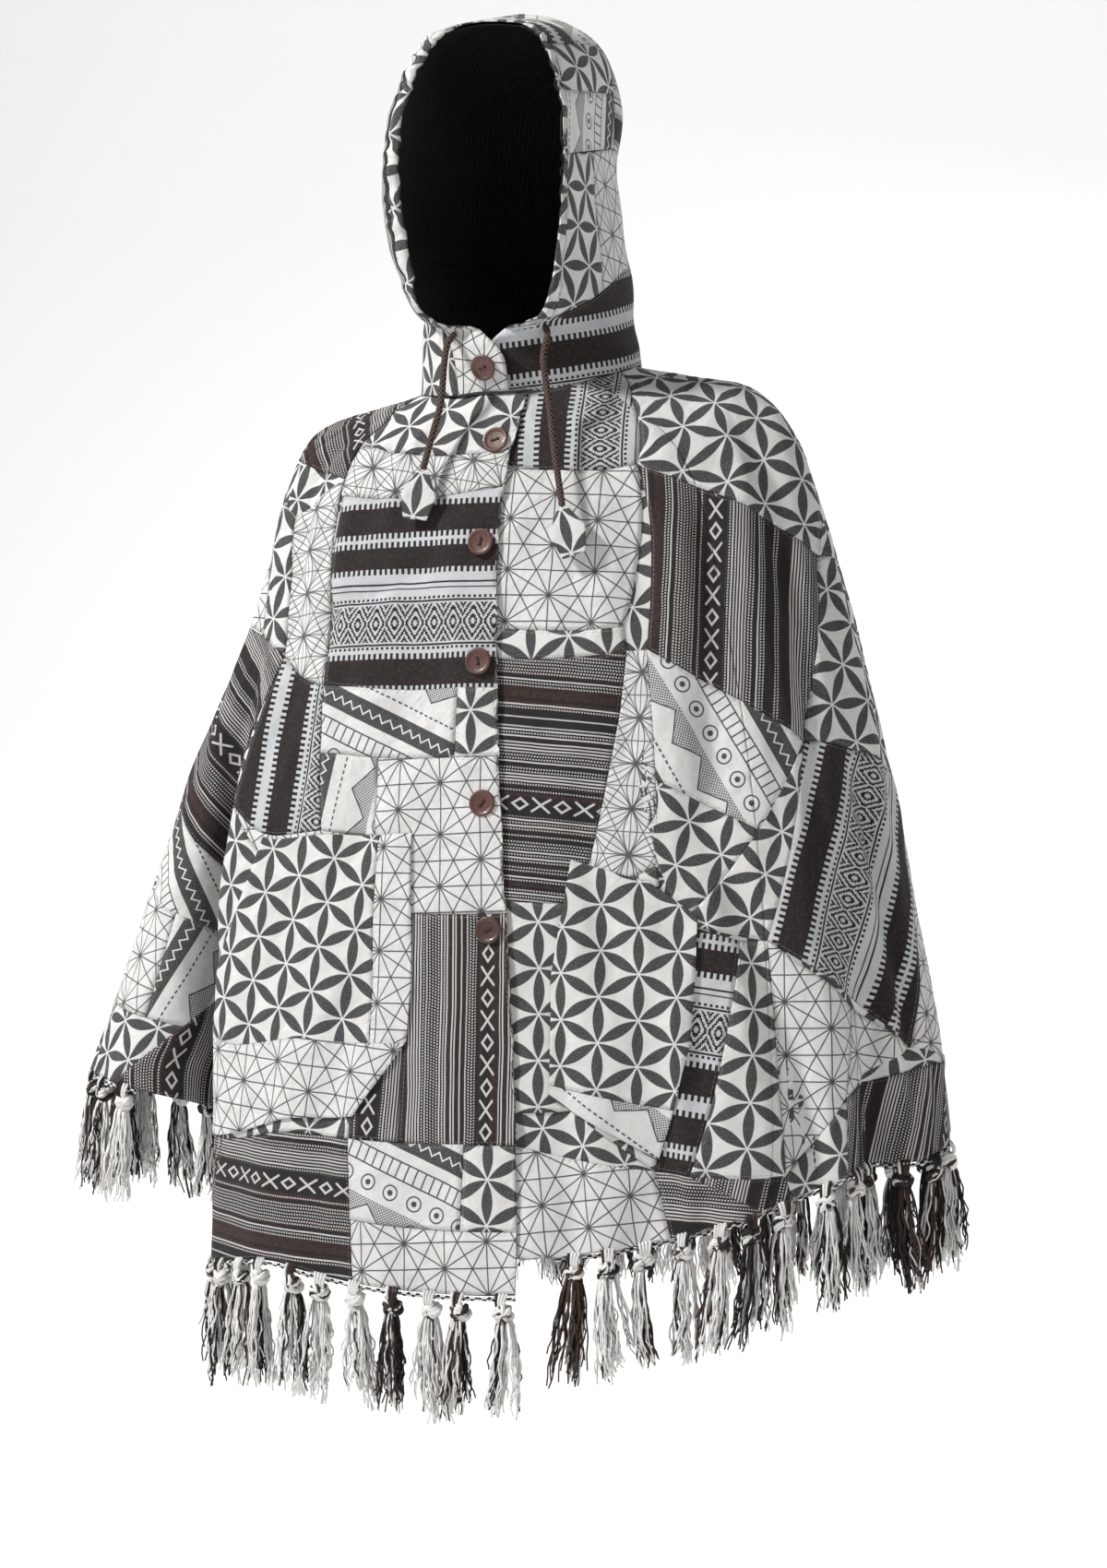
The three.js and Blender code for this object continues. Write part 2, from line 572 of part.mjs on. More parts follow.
// The drawcords and the folded cloth tabs at their ends.
for (const cord of CORDS) {
  const { side, u, up, clear } = cord.hole;
  const hole = hoodFace(side, -clear)(u, up);
  const bend = hoodFace(side, -clear - 9)(u, up);
  bend.z -= 2;
  const rest = cord.route.map((p) => new THREE.Vector3(p.x, p.y, p.z));
  const route = new THREE.CatmullRomCurve3([hole, bend, ...rest]);
  const ring = new THREE.Shape().absarc(0, 0, CORD_D / 2, 0, Math.PI * 2);
  const tube = new THREE.ExtrudeGeometry(ring, { steps: 16, curveSegments: 4, extrudePath: route });
  add(cord.name, tube, linen(0x4a332c));
  const flap = new THREE.Shape();
  flap.moveTo(-5, 0);
  flap.lineTo(5, 0);
  flap.lineTo(17, -20);
  flap.lineTo(12, -42);
  flap.lineTo(-10, -44);
  flap.lineTo(-17, -22);
  const tab = new THREE.ExtrudeGeometry(flap, {
    depth: TAB_T - 2,
    bevelThickness: 1,
    bevelSize: 1,
    bevelSegments: 1,
  });
  tab.translate(0, 0, 1 - TAB_T / 2);
  tab.rotateX(Math.PI / 2);
  tab.rotateY(rad(cord.tilt));
  const end = cord.route[cord.route.length - 1];
  tab.translate(end.x, end.y, end.z - 2.2);
  add(cord.tab, tab, linen(CREAM));
}

// The tassels all round the hem, one strip for each panel.
const yarn = new THREE.Color(0x8f8780);
const strips = [
  { name: "fringe_front_right", panel: "front_right", first: 3, last: 17, seed: 1 },
  { name: "fringe_front_left", panel: "front_left", first: 3, last: 10, seed: 40 },
  { name: "fringe_side_left", panel: "side_left", first: 0, last: 14, seed: 62 },
  { name: "fringe_back", panel: "back", first: 0, last: 20, seed: 90 },
  { name: "fringe_side_right", panel: "side_right", first: 0, last: 11, seed: 130 },
];
for (const strip of strips) {
  const { face, columns } = panels[strip.panel];
  add(strip.name, fringe(face, columns, strip.first, strip.last, strip.seed), linen(yarn));
}

export default poncho;
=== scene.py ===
import math
import random

import bmesh
import bpy
import numpy as np
from mathutils import Matrix, Vector


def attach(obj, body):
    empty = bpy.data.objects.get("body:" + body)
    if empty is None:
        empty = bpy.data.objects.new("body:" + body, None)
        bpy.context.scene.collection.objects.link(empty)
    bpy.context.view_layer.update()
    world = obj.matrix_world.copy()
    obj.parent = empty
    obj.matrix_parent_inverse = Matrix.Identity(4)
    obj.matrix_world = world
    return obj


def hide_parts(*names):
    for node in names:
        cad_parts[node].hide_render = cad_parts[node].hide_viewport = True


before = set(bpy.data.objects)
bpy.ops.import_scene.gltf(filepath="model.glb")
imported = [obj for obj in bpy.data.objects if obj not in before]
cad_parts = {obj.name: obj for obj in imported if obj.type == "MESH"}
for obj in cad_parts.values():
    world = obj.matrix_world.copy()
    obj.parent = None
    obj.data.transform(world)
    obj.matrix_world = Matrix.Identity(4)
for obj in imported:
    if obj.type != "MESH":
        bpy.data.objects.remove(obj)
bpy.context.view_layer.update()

bl_info = {
    "name": "Patchwork Poncho",
    "version": (1, 0, 0),
    "blender": (4, 5, 0),
    "location": "View3D > Sidebar > Poncho",
    "description": "Makes a hooded, buttoned patchwork poncho with a knotted tassel hem",
    "category": "Add Mesh",
}

# The drape. Millimetres, turned into metres as points are made. down: share of the way from the
# neck seam to the hem. square: 2 for an ellipse in plan, more for a squarer one.
LEVEL_KEYS = "down right left front back zf zr zl zb square".split()
LEVELS = np.array([
    (0.00, 104, 104, 84, 68, -22, -10, 8, 14, 2.0),
    (0.08, 150, 150, 104, 86, -62, -22, -2, 0, 2.1),
    (0.15, 209, 207, 118, 98, -112, -40, -15, -38, 2.2),
    (0.22, 238, 246, 127, 107, -170, -86, -56, -92, 2.3),
    (0.32, 258, 276, 138, 118, -254, -168, -136, -172, 2.35),
    (0.46, 302, 312, 150, 130, -372, -280, -258, -290, 2.35),
    (0.62, 350, 347, 164, 146, -508, -404, -402, -424, 2.3),
    (0.80, 394, 377, 180, 164, -656, -524, -546, -580, 2.25),
    (1.00, 434, 394, 196, 182, -812, -636, -686, -740, 2.2),
])

# Folds: angle at the top and at the hem, half width in degrees, depth, the shares of the way down
# where it begins and is whole, and how far its sides close in.
FOLD_KEYS = "top hem width deep start whole pinch".split()
FOLDS = [
    (-67, -44, 8.5, 104, 0.26, 0.95, 54),
    (60, 66, 7, 36, 0.5, 1.0, 8),
    (-26, -33, 8, 15, 0.4, 1.0, 0),
    (22, 27, 8, 17, 0.4, 1.0, 0),
    (45, 47, 6, 14, 0.5, 1.0, 0),
    (98, 104, 8, 24, 0.42, 1.0, 0),
    (-92, -95, 7, 22, 0.42, 1.0, 0),
    (126, 132, 9, 38, 0.32, 1.0, 6),
    (154, 157, 8, 32, 0.36, 1.0, 4),
    (-178, -177, 8, 30, 0.36, 1.0, 4),
    (-152, -152, 8, 34, 0.36, 1.0, 4),
    (-122, -126, 9, 38, 0.32, 1.0, 6),
]

# Creases in the cloth, from one place to another: angle and share of the way down at each end,
# half width and depth in millimetres, a ridge where the depth is negative.
CREASE_KEYS = "a0 d0 a1 d1 wide deep".split()
CREASES = [
    (-58, 0.10, -40, 0.42, 11, 5.0),
    (-44, 0.16, -30, 0.36, 9, 2.6),
    (34, 0.17, 20, 0.50, 10, 3.4),
    (52, 0.16, 34, 0.60, 13, 5.5),
    (70, 0.18, 60, 0.55, 12, 5.0),
    (86, 0.14, 82, 0.60, 12, -4.0),
    (14, 0.44, 20, 0.70, 9, 4.0),
    (10, 0.60, 14, 0.98, 10, 4.5),
    (28, 0.66, 30, 0.98, 9, -4.0),
    (38, 0.56, 52, 0.98, 12, 6.0),
    (74, 0.50, 78, 0.98, 12, 6.5),
    (-8, 0.30, -22, 0.62, 10, 2.8),
    (-14, 0.62, -18, 0.98, 11, 4.0),
    (-44, 0.40, -46, 0.98, 12, -5.0),
    (-78, 0.14, -74, 0.52, 11, 5.0),
    (-84, 0.30, -88, 0.98, 12, 6.0),
    (-104, 0.16, -108, 0.80, 12, 6.0),
    (-120, 0.20, -112, 0.98, 12, 5.0),
    (108, 0.14, 114, 0.76, 12, 6.0),
    (140, 0.12, 143, 0.92, 13, 5.5),
    (166, 0.20, 168, 0.98, 12, 5.0),
    (-166, 0.16, -164, 0.90, 12, 6.0),
    (-138, 0.12, -139, 0.88, 12, 5.0),
    (4, 0.20, 40, 0.33, 8, 2.2),
    (-6, 0.22, -36, 0.30, 8, 2.2),
    (6, 0.34, 24, 0.41, 8, 2.0),
    (-4, 0.50, -22, 0.53, 7, 2.0),
]

HOOD_KEYS = "up xe ye ze half zs yb zb".split()
HOOD = np.array([
    (0.00, 0, -86, -20, 104, 0, 68, 14),
    (0.14, 2, -96, 14, 101, 34, 70, 44),
    (0.22, 12, -102, 34, 97, 62, 74, 68),
    (0.30, 50, -110, 44, 93, 92, 79, 98),
    (0.38, 70, -117, 74, 91, 122, 85, 130),
    (0.52, 84, -124, 142, 92, 178, 92, 182),
    (0.66, 86, -123, 212, 91, 229, 94, 229),
    (0.78, 74, -117, 260, 82, 278, 86, 269),
    (0.88, 54, -109, 296, 61, 315, 74, 301),
    (0.95, 28, -103, 308, 34, 332, 60, 320),
    (1.00, 0.2, -99, 312, 0.2, 338, 48, 330),
])

MM = 0.001
DROP = 830  # length of the cloth from the neck to the hem, for the creases
CREASE_GAIN, RIPPLE_GAIN = 1.7, 1.2  # how much deeper they are than tabled
PLACKET_LIFT = 3.2  # how far the upper front stands off the lower one at the placket
PLACKET_SPREAD = 40  # width over which it comes back down
UNDERLAP = 32  # width of the lap
THROAT_OVERLAP = 13  # how far each half of the hood passes the middle at the throat
THROAT_LIFT = 5.8  # how far the upper half stands off the lower one there
HOOD_LEAN = -10  # how far the hood leans to the wearer's right
RIM_CURL = 16  # how far the right rim curls in
RIGHT_FULLNESS = 10  # how much fuller the right half is

# The body's panels. Each long edge is an angle at the neck and how it changes down to the hem, or
# None at the placket. Then the angles that the backing covers, and the part of the hem that has
# tassels.
PANELS = {
    "front_right": ((-67, 21), None, (-68, 16), (0.0, 1.0)),
    "front_left": (None, (50, -8), (-3, 51), (0.22, 1.0)),
    "side_left": ((50, -8), (122, -2), (41, 123), (0.0, 1.0)),
    "back": ((122, -2), (232, 4), (119, 237), (0.0, 1.0)),
    "side_right": ((-128, 4), (-67, 21), (-129, -45), (0.0, 0.86)),
}
SEAM_HALF = 0.05  # half of the gap between panels, in degrees

# Corners of the patches: angle round the body and share of the way down. Patches that meet share
# them. Names begin with r or s for the wearer's right front and arm, and l, m or n for the left.
CORNERS = {
    "r00": (17, 0.00), "r01": (-62, 0.00), "r02": (-130, 0.00), "r10": (14, 0.098),
    "r11": (-46, 0.116), "r20": (10, 0.14), "r21": (-39, 0.176), "r22": (-41, 0.16),
    "r23": (-74, 0.22), "r24": (-112, 0.21), "r30": (9, 0.358), "r31": (-2, 0.357),
    "r32": (-30, 0.37), "r33": (-45, 0.37), "r34": (-56, 0.23), "r35": (-59, 0.37),
    "r40": (9, 0.428), "r41": (-2, 0.43), "r42": (-15, 0.432), "r43": (-27, 0.44),
    "r50": (9, 0.59), "r51": (-13, 0.596), "r52": (-14, 0.52), "r53": (-24, 0.52),
    "r54": (-44, 0.54), "r55": (-7, 0.593), "r65": (-6.5, 0.836), "r60": (9, 0.834),
    "r61": (0.5, 0.834), "r62": (-13, 0.84), "r63": (-44, 0.87), "r70": (9, 0.93),
    "r71": (0.5, 0.93), "r72": (-12, 0.93), "r80": (9, 1.0), "r81": (-11, 1.0), "r82": (-46, 1.0),
    "s20": (-92, 0.22), "s30": (-92, 0.38), "s40": (-92, 0.50), "s42": (-47, 0.70),
    "s44": (-92, 0.66), "s46": (-49, 0.76), "s47": (-62, 0.725), "s48": (-60, 0.885),
    "s50": (-92, 0.86), "s51": (-54, 0.89), "s52": (-30, 0.66), "s60": (-92, 1.0),
    "s61": (-60, 1.0), "s62": (-36, 1.0), "s25": (-130, 0.22), "s45": (-130, 0.50),
    "s55": (-130, 0.76), "s65": (-130, 1.0), "l00": (-8, 0.00), "l01": (68, 0.00),
    "l02": (124, 0.00), "l10": (-8, 0.10), "l11": (37, 0.16), "l20": (-8, 0.285),
    "l21": (25, 0.315), "l30": (-8, 0.32), "l31": (25, 0.34), "l33": (29, 0.345),
    "l40": (-8, 0.57), "l41": (14, 0.585), "l43": (24, 0.46), "l60": (-8, 0.80), "l61": (13, 0.80),
    "l70": (-8, 1.0), "l71": (28, 1.0), "l62": (24.5, 0.88), "l63": (27, 0.56), "m10": (80, 0.35),
    "m11": (60, 0.50), "m12": (124, 0.45), "m13": (94, 0.58), "m14": (46, 0.56),
    "m20": (30, 0.625), "m21": (40, 0.66), "m22": (45, 0.67), "m23": (30, 0.895),
    "m24": (45, 0.93), "m25": (48, 1.0), "m30": (78, 0.86), "m31": (57, 0.87), "m32": (94, 0.90),
    "m33": (56, 1.0), "m34": (94, 1.0), "m35": (62, 0.78), "n30": (123, 0.58), "n40": (123, 0.82),
    "n50": (123, 1.0), "n41": (94, 0.82),
}

# Patches: fabric, turn of its pattern, how far the pattern is moved in millimetres, and corners:
# the two at the top, then the two at the foot. A rectangle, as on the hood, has only its first and
# its last one.
PATCHES_RIGHT = [
    ("striped", 12, 30, "r02 r01 r24 r22"),
    ("petal", 0, 4, "r01 r00 r11 r10"),
    ("lattice", 0, 0, "r11 r10 r21 r20"),
    ("toothed", 0, 0, "r21 r20 r32 r30"),
    ("lattice", 0, 9, "r34 r22 r33 r32"),
    ("petal", 20, 0, "r23 r34 r35 r33"),
    ("star", 0, 5, "s20 r23 s30 r35"),
    ("doodle", 0, 0, "r32 r31 r43 r41"),
    ("petal", 0, 0, "r31 r30 r41 r40"),
    ("doodle", 80, 40, "r43 r42 r53 r52"),
    ("star", 0, 0, "r42 r40 r51 r50"),
    ("toothed", 90, 20, "r33 r32 r54 r53"),
    ("star", 0, 0, "r53 r52 r54 r51"),
    ("petal", 0, 0, "r54 r51 r63 r62"),
    ("striped", 90, 96, "r51 r55 r62 r65"),
    ("striped", 90, 10, "r55 r50 r65 r60"),
    ("striped", 0, 43, "r63 r62 r82 r81"),
    ("doodle", 0, 66, "r62 r61 r72 r71"),
    ("petal", 0, 9, "r61 r60 r71 r70"),
    ("star", 0, 12, "r72 r70 r81 r80"),
    ("striped", 30, 33, "s30 r33 s40 s42"),
    ("doodle", 20, 30, "s40 s42 s44 s46"),
    ("star", 0, 0, "s44 s47 s50 s48"),
    ("doodle", 70, 20, "s47 s46 s48 s51"),
    ("petal", 10, 0, "s50 s51 s60 s61"),
    ("striped", 90, 64, "s42 s52 s61 s62"),
    ("petal", 0, 0, "s25 s20 s45 s40"),
    ("toothed", 0, 0, "s45 s40 s55 s50"),
    ("star", 0, 0, "s55 s50 s65 s60"),
]
PATCHES_LEFT = [
    ("toothed", 90, 40, "l00 l01 l10 l11"),
    ("star", 0, 0, "l10 l11 l20 l21"),
    ("petal", 0, 12, "l20 l21 l30 l31"),
    ("striped", 0, 101, "l30 l31 l40 l41"),
    ("lattice", 0, 0, "l31 l33 l41 l63"),
    ("petal", 0, 0, "l40 l41 l60 l61"),
    ("star", 0, 20, "l60 l62 l70 l71"),
    ("petal", 0, 0, "l41 l63 l61 l62"),
    ("petal", 12, 0, "l01 l02 l11 m10"),
    ("striped", 90, 137, "l11 m10 l33 m11"),
    ("petal", 10, 0, "m10 m12 m11 m13"),
    ("petal", 10, 0, "l02 l02 m10 m12"),
    ("doodle", 20, 30, "l33 m11 l43 m14"),
    ("petal", 0, 0, "l43 m14 l63 m20"),
    ("petal", 0, 0, "m14 m11 m20 m22"),
    ("toothed", 104, 20, "m11 m13 m22 m30"),
    ("toothed", 0, 30, "m20 m21 l62 m23"),
    ("petal", 0, 0, "m21 m22 m23 m24"),
    ("star", 0, 0, "m22 m35 m24 m31"),
    ("star", 0, 20, "m35 m30 m31 m30"),
    ("star", 0, 30, "m13 n30 m30 n41"),
    ("striped", 108, 70, "m31 m32 m33 m34"),
    ("striped", 62, 0, "l62 m23 l71 m25"),
    ("striped", 0, 0, "m23 m24 m25 m25"),
    ("petal", 0, 0, "m24 m31 m25 m33"),
    ("petal", 0, 20, "n41 n40 m34 n50"),
    ("star", 0, 30, "m30 n41 m32 m34"),
]

# The back's patches, rows down and columns across, each column from one angle to the next.
BACK_ANGLES = (119, 149, 177, 205, 237)
BACK_DOWNS = (0.0, 0.17, 0.36, 0.56, 0.79, 1.0)
BACK_CLOTHS = (
    ("petal 0", "striped 0", "star 0", "petal 0"),
    ("striped 90", "petal 0", "toothed 90", "lattice 0"),
    ("doodle 0", "toothed 0", "petal 0", "striped 0"),
    ("petal 0", "star 0", "striped 90", "doodle 10"),
    ("toothed 0", "petal 0", "doodle 0", "striped 0"),
)

# The pockets: the panel under each, its outline as angles and shares of the way down, and its
# own patches.
POCKETS = {
    "pocket_right": (
        "front_right",
        ((-36.6, 0.536), (-7.5, 0.510), (-5.9, 0.669), (-6.2, 0.727), (-12.6, 0.815),
         (-40.5, 0.868), (-40.5, 0.70)),
        (("petal", 0, 0, -42, 0.50, -13, 0.50, -42, 0.760, -11, 0.742),
         ("star", 0, 0, -13, 0.50, -4, 0.50, -11, 0.742, -4, 0.727),
         ("star", 0, 0, -42, 0.760, -4, 0.727, -42, 0.88, -4, 0.85)),
    ),
    "pocket_left": (
        "front_left",
        ((13.2, 0.540), (25.2, 0.575), (33.0, 0.622), (30.4, 0.754), (25.0, 0.868),
         (10.2, 0.784), (10.1, 0.66)),
        (("petal", 0, 0, 8, 0.50, 38, 0.60, 8, 0.765, 34, 0.835),
         ("doodle", 5, 0, 8, 0.765, 34, 0.835, 8, 0.80, 32, 0.93)),
    ),
}

# The hood's patches: u from the face opening to the centre back, up from the neck to the crown.
HOOD_PATCHES = {
    "hood_right": (
        ("star", 0, 0, 0.0, 0.0, 0.12, 0.25),
        ("petal", 0, 0, 0.12, 0.0, 1.0, 0.0, 0.12, 0.25, 1.0, 0.27),
        ("petal", 80, 0, 0.0, 0.25, 0.045, 1.0),
        ("striped", 90, 12, 0.045, 0.25, 0.20, 0.2515, 0.045, 0.80, 0.20, 0.80),
        ("petal", 0, 0, 0.20, 0.2515, 1.0, 0.27, 0.20, 0.80, 1.0, 0.80),
        ("star", 20, 0, 0.045, 0.80, 1.0, 1.0),
    ),
    "hood_left": (
        ("toothed", 8, 150, 0.0, 0.0, 0.55, 0.0, 0.0, 0.27, 0.55, 0.33),
        ("petal", 0, 0, 0.55, 0.0, 1.0, 0.33),
        ("petal", 80, 9, 0.0, 0.27, 0.09, 0.275, 0.0, 1.0, 0.09, 1.0),
        ("petal", 90, 0, 0.09, 0.275, 0.30, 0.30, 0.09, 0.60, 0.30, 0.60),
        ("star", 0, 0, 0.30, 0.30, 1.0, 0.33, 0.30, 0.60, 1.0, 0.62),
        ("doodle", 60, 0, 0.09, 0.60, 0.42, 0.604, 0.09, 0.73, 0.42, 0.73),
        ("petal", 0, 0, 0.09, 0.73, 0.42, 0.84),
        ("toothed", 0, 36, 0.42, 0.604, 0.56, 0.608, 0.42, 0.84, 0.56, 0.84),
        ("petal", 0, 20, 0.56, 0.608, 1.0, 0.62, 0.56, 0.84, 1.0, 0.84),
        ("toothed", 90, 14, 0.09, 0.84, 0.28, 0.92),
        ("petal", 0, 0, 0.09, 0.92, 0.28, 1.0),
        ("doodle", 0, 50, 0.28, 0.84, 0.56, 1.0),
        ("petal", 30, 0, 0.56, 0.84, 1.0, 1.0),
    ),
}

# The buttons: share of the way down the placket, how far off the cloth, turn of the holes and
# colour. The top one sits on the hood's throat instead, at (u, up).
BUTTONS = [
    (0.086, -0.3, 20, (0.086, 0.038, 0.028)),
    (0.204, 0.6, 75, (0.078, 0.034, 0.024)),
    (0.33, 0.6, 100, (0.080, 0.035, 0.025)),
    (0.478, 0.6, 55, (0.080, 0.034, 0.026)),
    (0.608, 0.6, 30, (0.058, 0.026, 0.020)),
]
BUTTON_INSET = 16
THROAT_BUTTON = ((0.05, 0.11), 8, (0.084, 0.037, 0.028))

# The drawcords: where each leaves the hood (side, u, up and depth), the points that it hangs
# through in millimetres, and the turn of its tab in degrees.
CORDS = {
    "cord_right": (
        (-1, 0.0833, 0.2143, 1.34),
        ((-40, -116, 6), (-43, -117, -30), (-50, -122, -62), (-56, -127, -90)),
        12,
    ),
    "cord_left": (
        (1, 0.12, 0.2143, 0.1),
        ((52, -111, 6), (57, -111, -30), (66, -121, -76), (77, -131, -126)),
        -14,
    ),
}
CORD_D = 6.0
CORD_BEND = 9.0  # how far off the cloth the cord turns down
TAB = ((-5, 0), (5, 0), (17, -20), (12, -42), (-10, -44), (-17, -22))
TAB_T = 3.4
TAB_CLEAR = 2.2  # gap between the cord's end and its tab

# The body's patches are flat shapes in degrees and shares of the way down, which this evens out
# while they are cut. Each next patch lies a layer higher, so that none fights with its neighbour.
EVEN = 100.0
LAYER, LAYERS = 0.045, 9
BACKING_DEPTH = 0.75
POCKET_LIFT = 2.2
LINING_DEPTH = 3.4
LINING_ROW = ("petal", 0, 0, 0.0, 5 / 14, 1.0, 1.0)  # its fabric is the one black rib

TASSEL_GAP = 0.034
HEM_DROP = 0.005
KNOT_LOOPS, HEM_LOOPS, CLUMPS = 9, 4, 9  # of yarn, in each tassel
UP = np.array([0.0, 0.0, 1.0])


def smooth(x):
    x = np.clip(x, 0.0, 1.0)
    return x * x * (3 - 2 * x)


def along(table, s):
    """Rows of a table at shares s of the way, joined smoothly through its rows."""
    s = np.atleast_1d(np.asarray(s, float))
    at = table[:, 0]
    n = len(at)
    k = np.clip(np.searchsorted(at, s, side="right") - 1, 0, n - 2)

    def slope(i):
        low, high = np.clip(i - 1, 0, n - 1), np.clip(i + 1, 0, n - 1)
        return (table[high] - table[low]) / (at[high] - at[low])[:, None]

    h = (at[k + 1] - at[k])[:, None]
    f = (s - at[k])[:, None] / h
    return (
        (2 * f**3 - 3 * f**2 + 1) * table[k]
        + (3 * f**2 - 2 * f**3) * table[k + 1]
        + h * ((f**3 - 2 * f**2 + f) * slope(k) + (f**3 - f**2) * slope(k + 1))
    )


def body_point(angle, down):
    """Points of the body's outer face in millimetres, as the solids have it."""
    angle, down = (np.asarray(v, float).ravel() for v in np.broadcast_arrays(angle, down))
    row = dict(zip(LEVEL_KEYS, along(LEVELS, down).T))
    deep = np.zeros_like(angle)
    shift = np.zeros_like(angle)
    for values in FOLDS:
        f = dict(zip(FOLD_KEYS, values))
        grown = smooth((down - f["start"]) / (f["whole"] - f["start"]))
        centre = f["top"] + (f["hem"] - f["top"]) * down
        off = ((angle - centre + 180) % 360 - 180) / f["width"]
        deep += f["deep"] * grown * np.exp(-off * off)
        shift -= f["pinch"] * grown * off**3 * np.exp(-off * off)
    s, c = np.sin(np.radians(angle)), np.cos(np.radians(angle))
    half = np.where(s < 0, row["right"], row["left"])
    depth = np.where(c > 0, row["front"], row["back"])
    power = 2 / row["square"]
    x = half * np.sign(s) * np.abs(s) ** power
    y = -depth * np.sign(c) * np.abs(c) ** power
    side = np.where(s < 0, row["zr"], row["zl"])
    end = np.where(c > 0, row["zf"], row["zb"])
    signed = (angle + 180) % 360 - 180
    low = smooth((signed + 46) / 12) * (1 - smooth((signed + 38) / 18))
    high = smooth((signed + 88) / 38) * (1 - smooth((signed + 48) / 10))
    drop = down**2 * (40 * low - 57 * high)
    z = side + (end - side) * np.abs(c) ** 1.6 - drop
    nx, ny = x / half**2, y / depth**2
    length = np.hypot(nx, ny) + 1e-12
    nx, ny = nx / length, ny / length
    return np.stack([x - nx * deep - ny * shift, y - ny * deep + nx * shift, z], -1)


def body_normal(angle, down):
    down = np.clip(down, 0.002, 0.998)
    a = body_point(angle + 0.4, down) - body_point(angle - 0.4, down)
    b = body_point(angle, down + 0.002) - body_point(angle, down - 0.002)
    n = np.cross(b, a)
    return n / (np.linalg.norm(n, axis=1)[:, None] + 1e-12)


def placket_x(down):
    return 16 + 10 * (1 - smooth(down / 0.2)) + 42 * smooth((down - 0.2) / 0.8)


def front_angle(x, down):
    row = dict(zip(LEVEL_KEYS, along(LEVELS, down).T))
    half = np.where(x < 0, row["right"], row["left"])
    return np.sign(x) * np.degrees(np.arcsin((np.abs(x) / half) ** (row["square"] / 2)))


def placket_lift(angle, down):
    away = placket_x(down) - body_point(angle, down)[:, 0]
    return PLACKET_LIFT * (1 - smooth((away - UNDERLAP) / PLACKET_SPREAD))


def hem_share(angle):
    """The share of the way down at which the cloth ends on the wearer's left."""
    return 1 - 0.041 * (1 - smooth((angle - 54) / 26))


def creases(angle, down):
    """How far the cloth stands in or out at its creases, in millimetres."""
    angle = (angle + 180) % 360 - 180
    degree = 1.6 + 3.2 * down  # millimetres round the body
    total = np.zeros_like(angle)
    for values in CREASES:
        c = dict(zip(CREASE_KEYS, values))
        away = (angle - c["a0"] + 180) % 360 - 180
        span = (c["a1"] - c["a0"]) * degree, (c["d1"] - c["d0"]) * DROP
        here = away * degree, (down - c["d0"]) * DROP
        share = (here[0] * span[0] + here[1] * span[1]) / (span[0] ** 2 + span[1] ** 2)
        share = np.clip(share, -0.1, 1.1)
        off = np.hypot(here[0] - share * span[0], here[1] - share * span[1]) / c["wide"]
        ends = smooth((share + 0.1) / 0.35) * smooth((1.1 - share) / 0.35)
        total -= c["deep"] * ends * np.exp(-off * off)
    ripple = 1.0 * np.sin(angle * 0.55 + 7 * down) * np.sin(down * 23 + angle * 0.11)
    ripple += 0.8 * np.sin(angle * 0.31 - 29 * down) * np.sin(down * 11 - angle * 0.23)
    wavy = np.sin(angle * 1.3 + 9 * down + 2 * np.sin(down * 17))
    ripple += 0.45 * wavy * np.sin(down * 41 + angle * 0.4)
    hem = 1.6 * smooth((down - 0.8) / 0.2) * np.sin(angle * 0.72 + 1.3)
    return (CREASE_GAIN * total + RIPPLE_GAIN * ripple + hem) * smooth(down / 0.06)


def body_place(panel, angle, down, depth):
    """Where a panel's cloth lies, a depth below its face, in metres."""
    lift = placket_lift(angle, down) if panel == "front_right" else 0.0
    out = body_normal(angle, down)
    push = creases(angle, down) + lift - depth
    return (body_point(angle, down) + out * push[:, None]) * MM


def hood_point(side, u, up, across=THROAT_OVERLAP):
    """Points of one half of the hood in millimetres, as the solids have it."""
    row = dict(zip(HOOD_KEYS, along(HOOD, up).T))
    turn = 0.42
    full = smooth((up - 0.3) / 0.15) * (1 - smooth((up - 0.88) / 0.12)) * (side < 0)
    half = row["half"] + RIGHT_FULLNESS * full
    xe = row["xe"] - RIM_CURL * full - across * (1 - smooth((up - 0.12) / 0.12))
    g1 = u / turn * math.pi / 2
    g2 = (u - turn) / (1 - turn) * math.pi / 2
    near = u < turn
    curl = np.abs(np.sin(g1)) ** (1 - 0.4 * full)
    x = np.where(near, xe + (half - xe) * curl, half * np.cos(g2))
    y = np.where(near, row["ye"] * np.cos(g1), row["yb"] * np.sin(g2))
    front = row["ze"] + (row["zs"] - row["ze"]) * (1 - np.cos(g1))
    z = np.where(near, front, row["zs"] + (row["zb"] - row["zs"]) * np.sin(g2) ** 2)
    angle = np.degrees(np.arctan2(side * x / 104, -y / np.where(y < 0, 84, 68)))
    foot = body_point(angle, np.zeros_like(angle))
    raised = smooth((placket_x(0.0) + 10 - foot[:, 0]) / 10) * (1 - smooth((-foot[:, 0] - 10) / 40))
    foot[:, 2] += 1.2 + PLACKET_LIFT * raised
    k = smooth(up / 0.14)[:, None]
    return np.stack([side * x, y, z], -1) * k + foot * (1 - k)


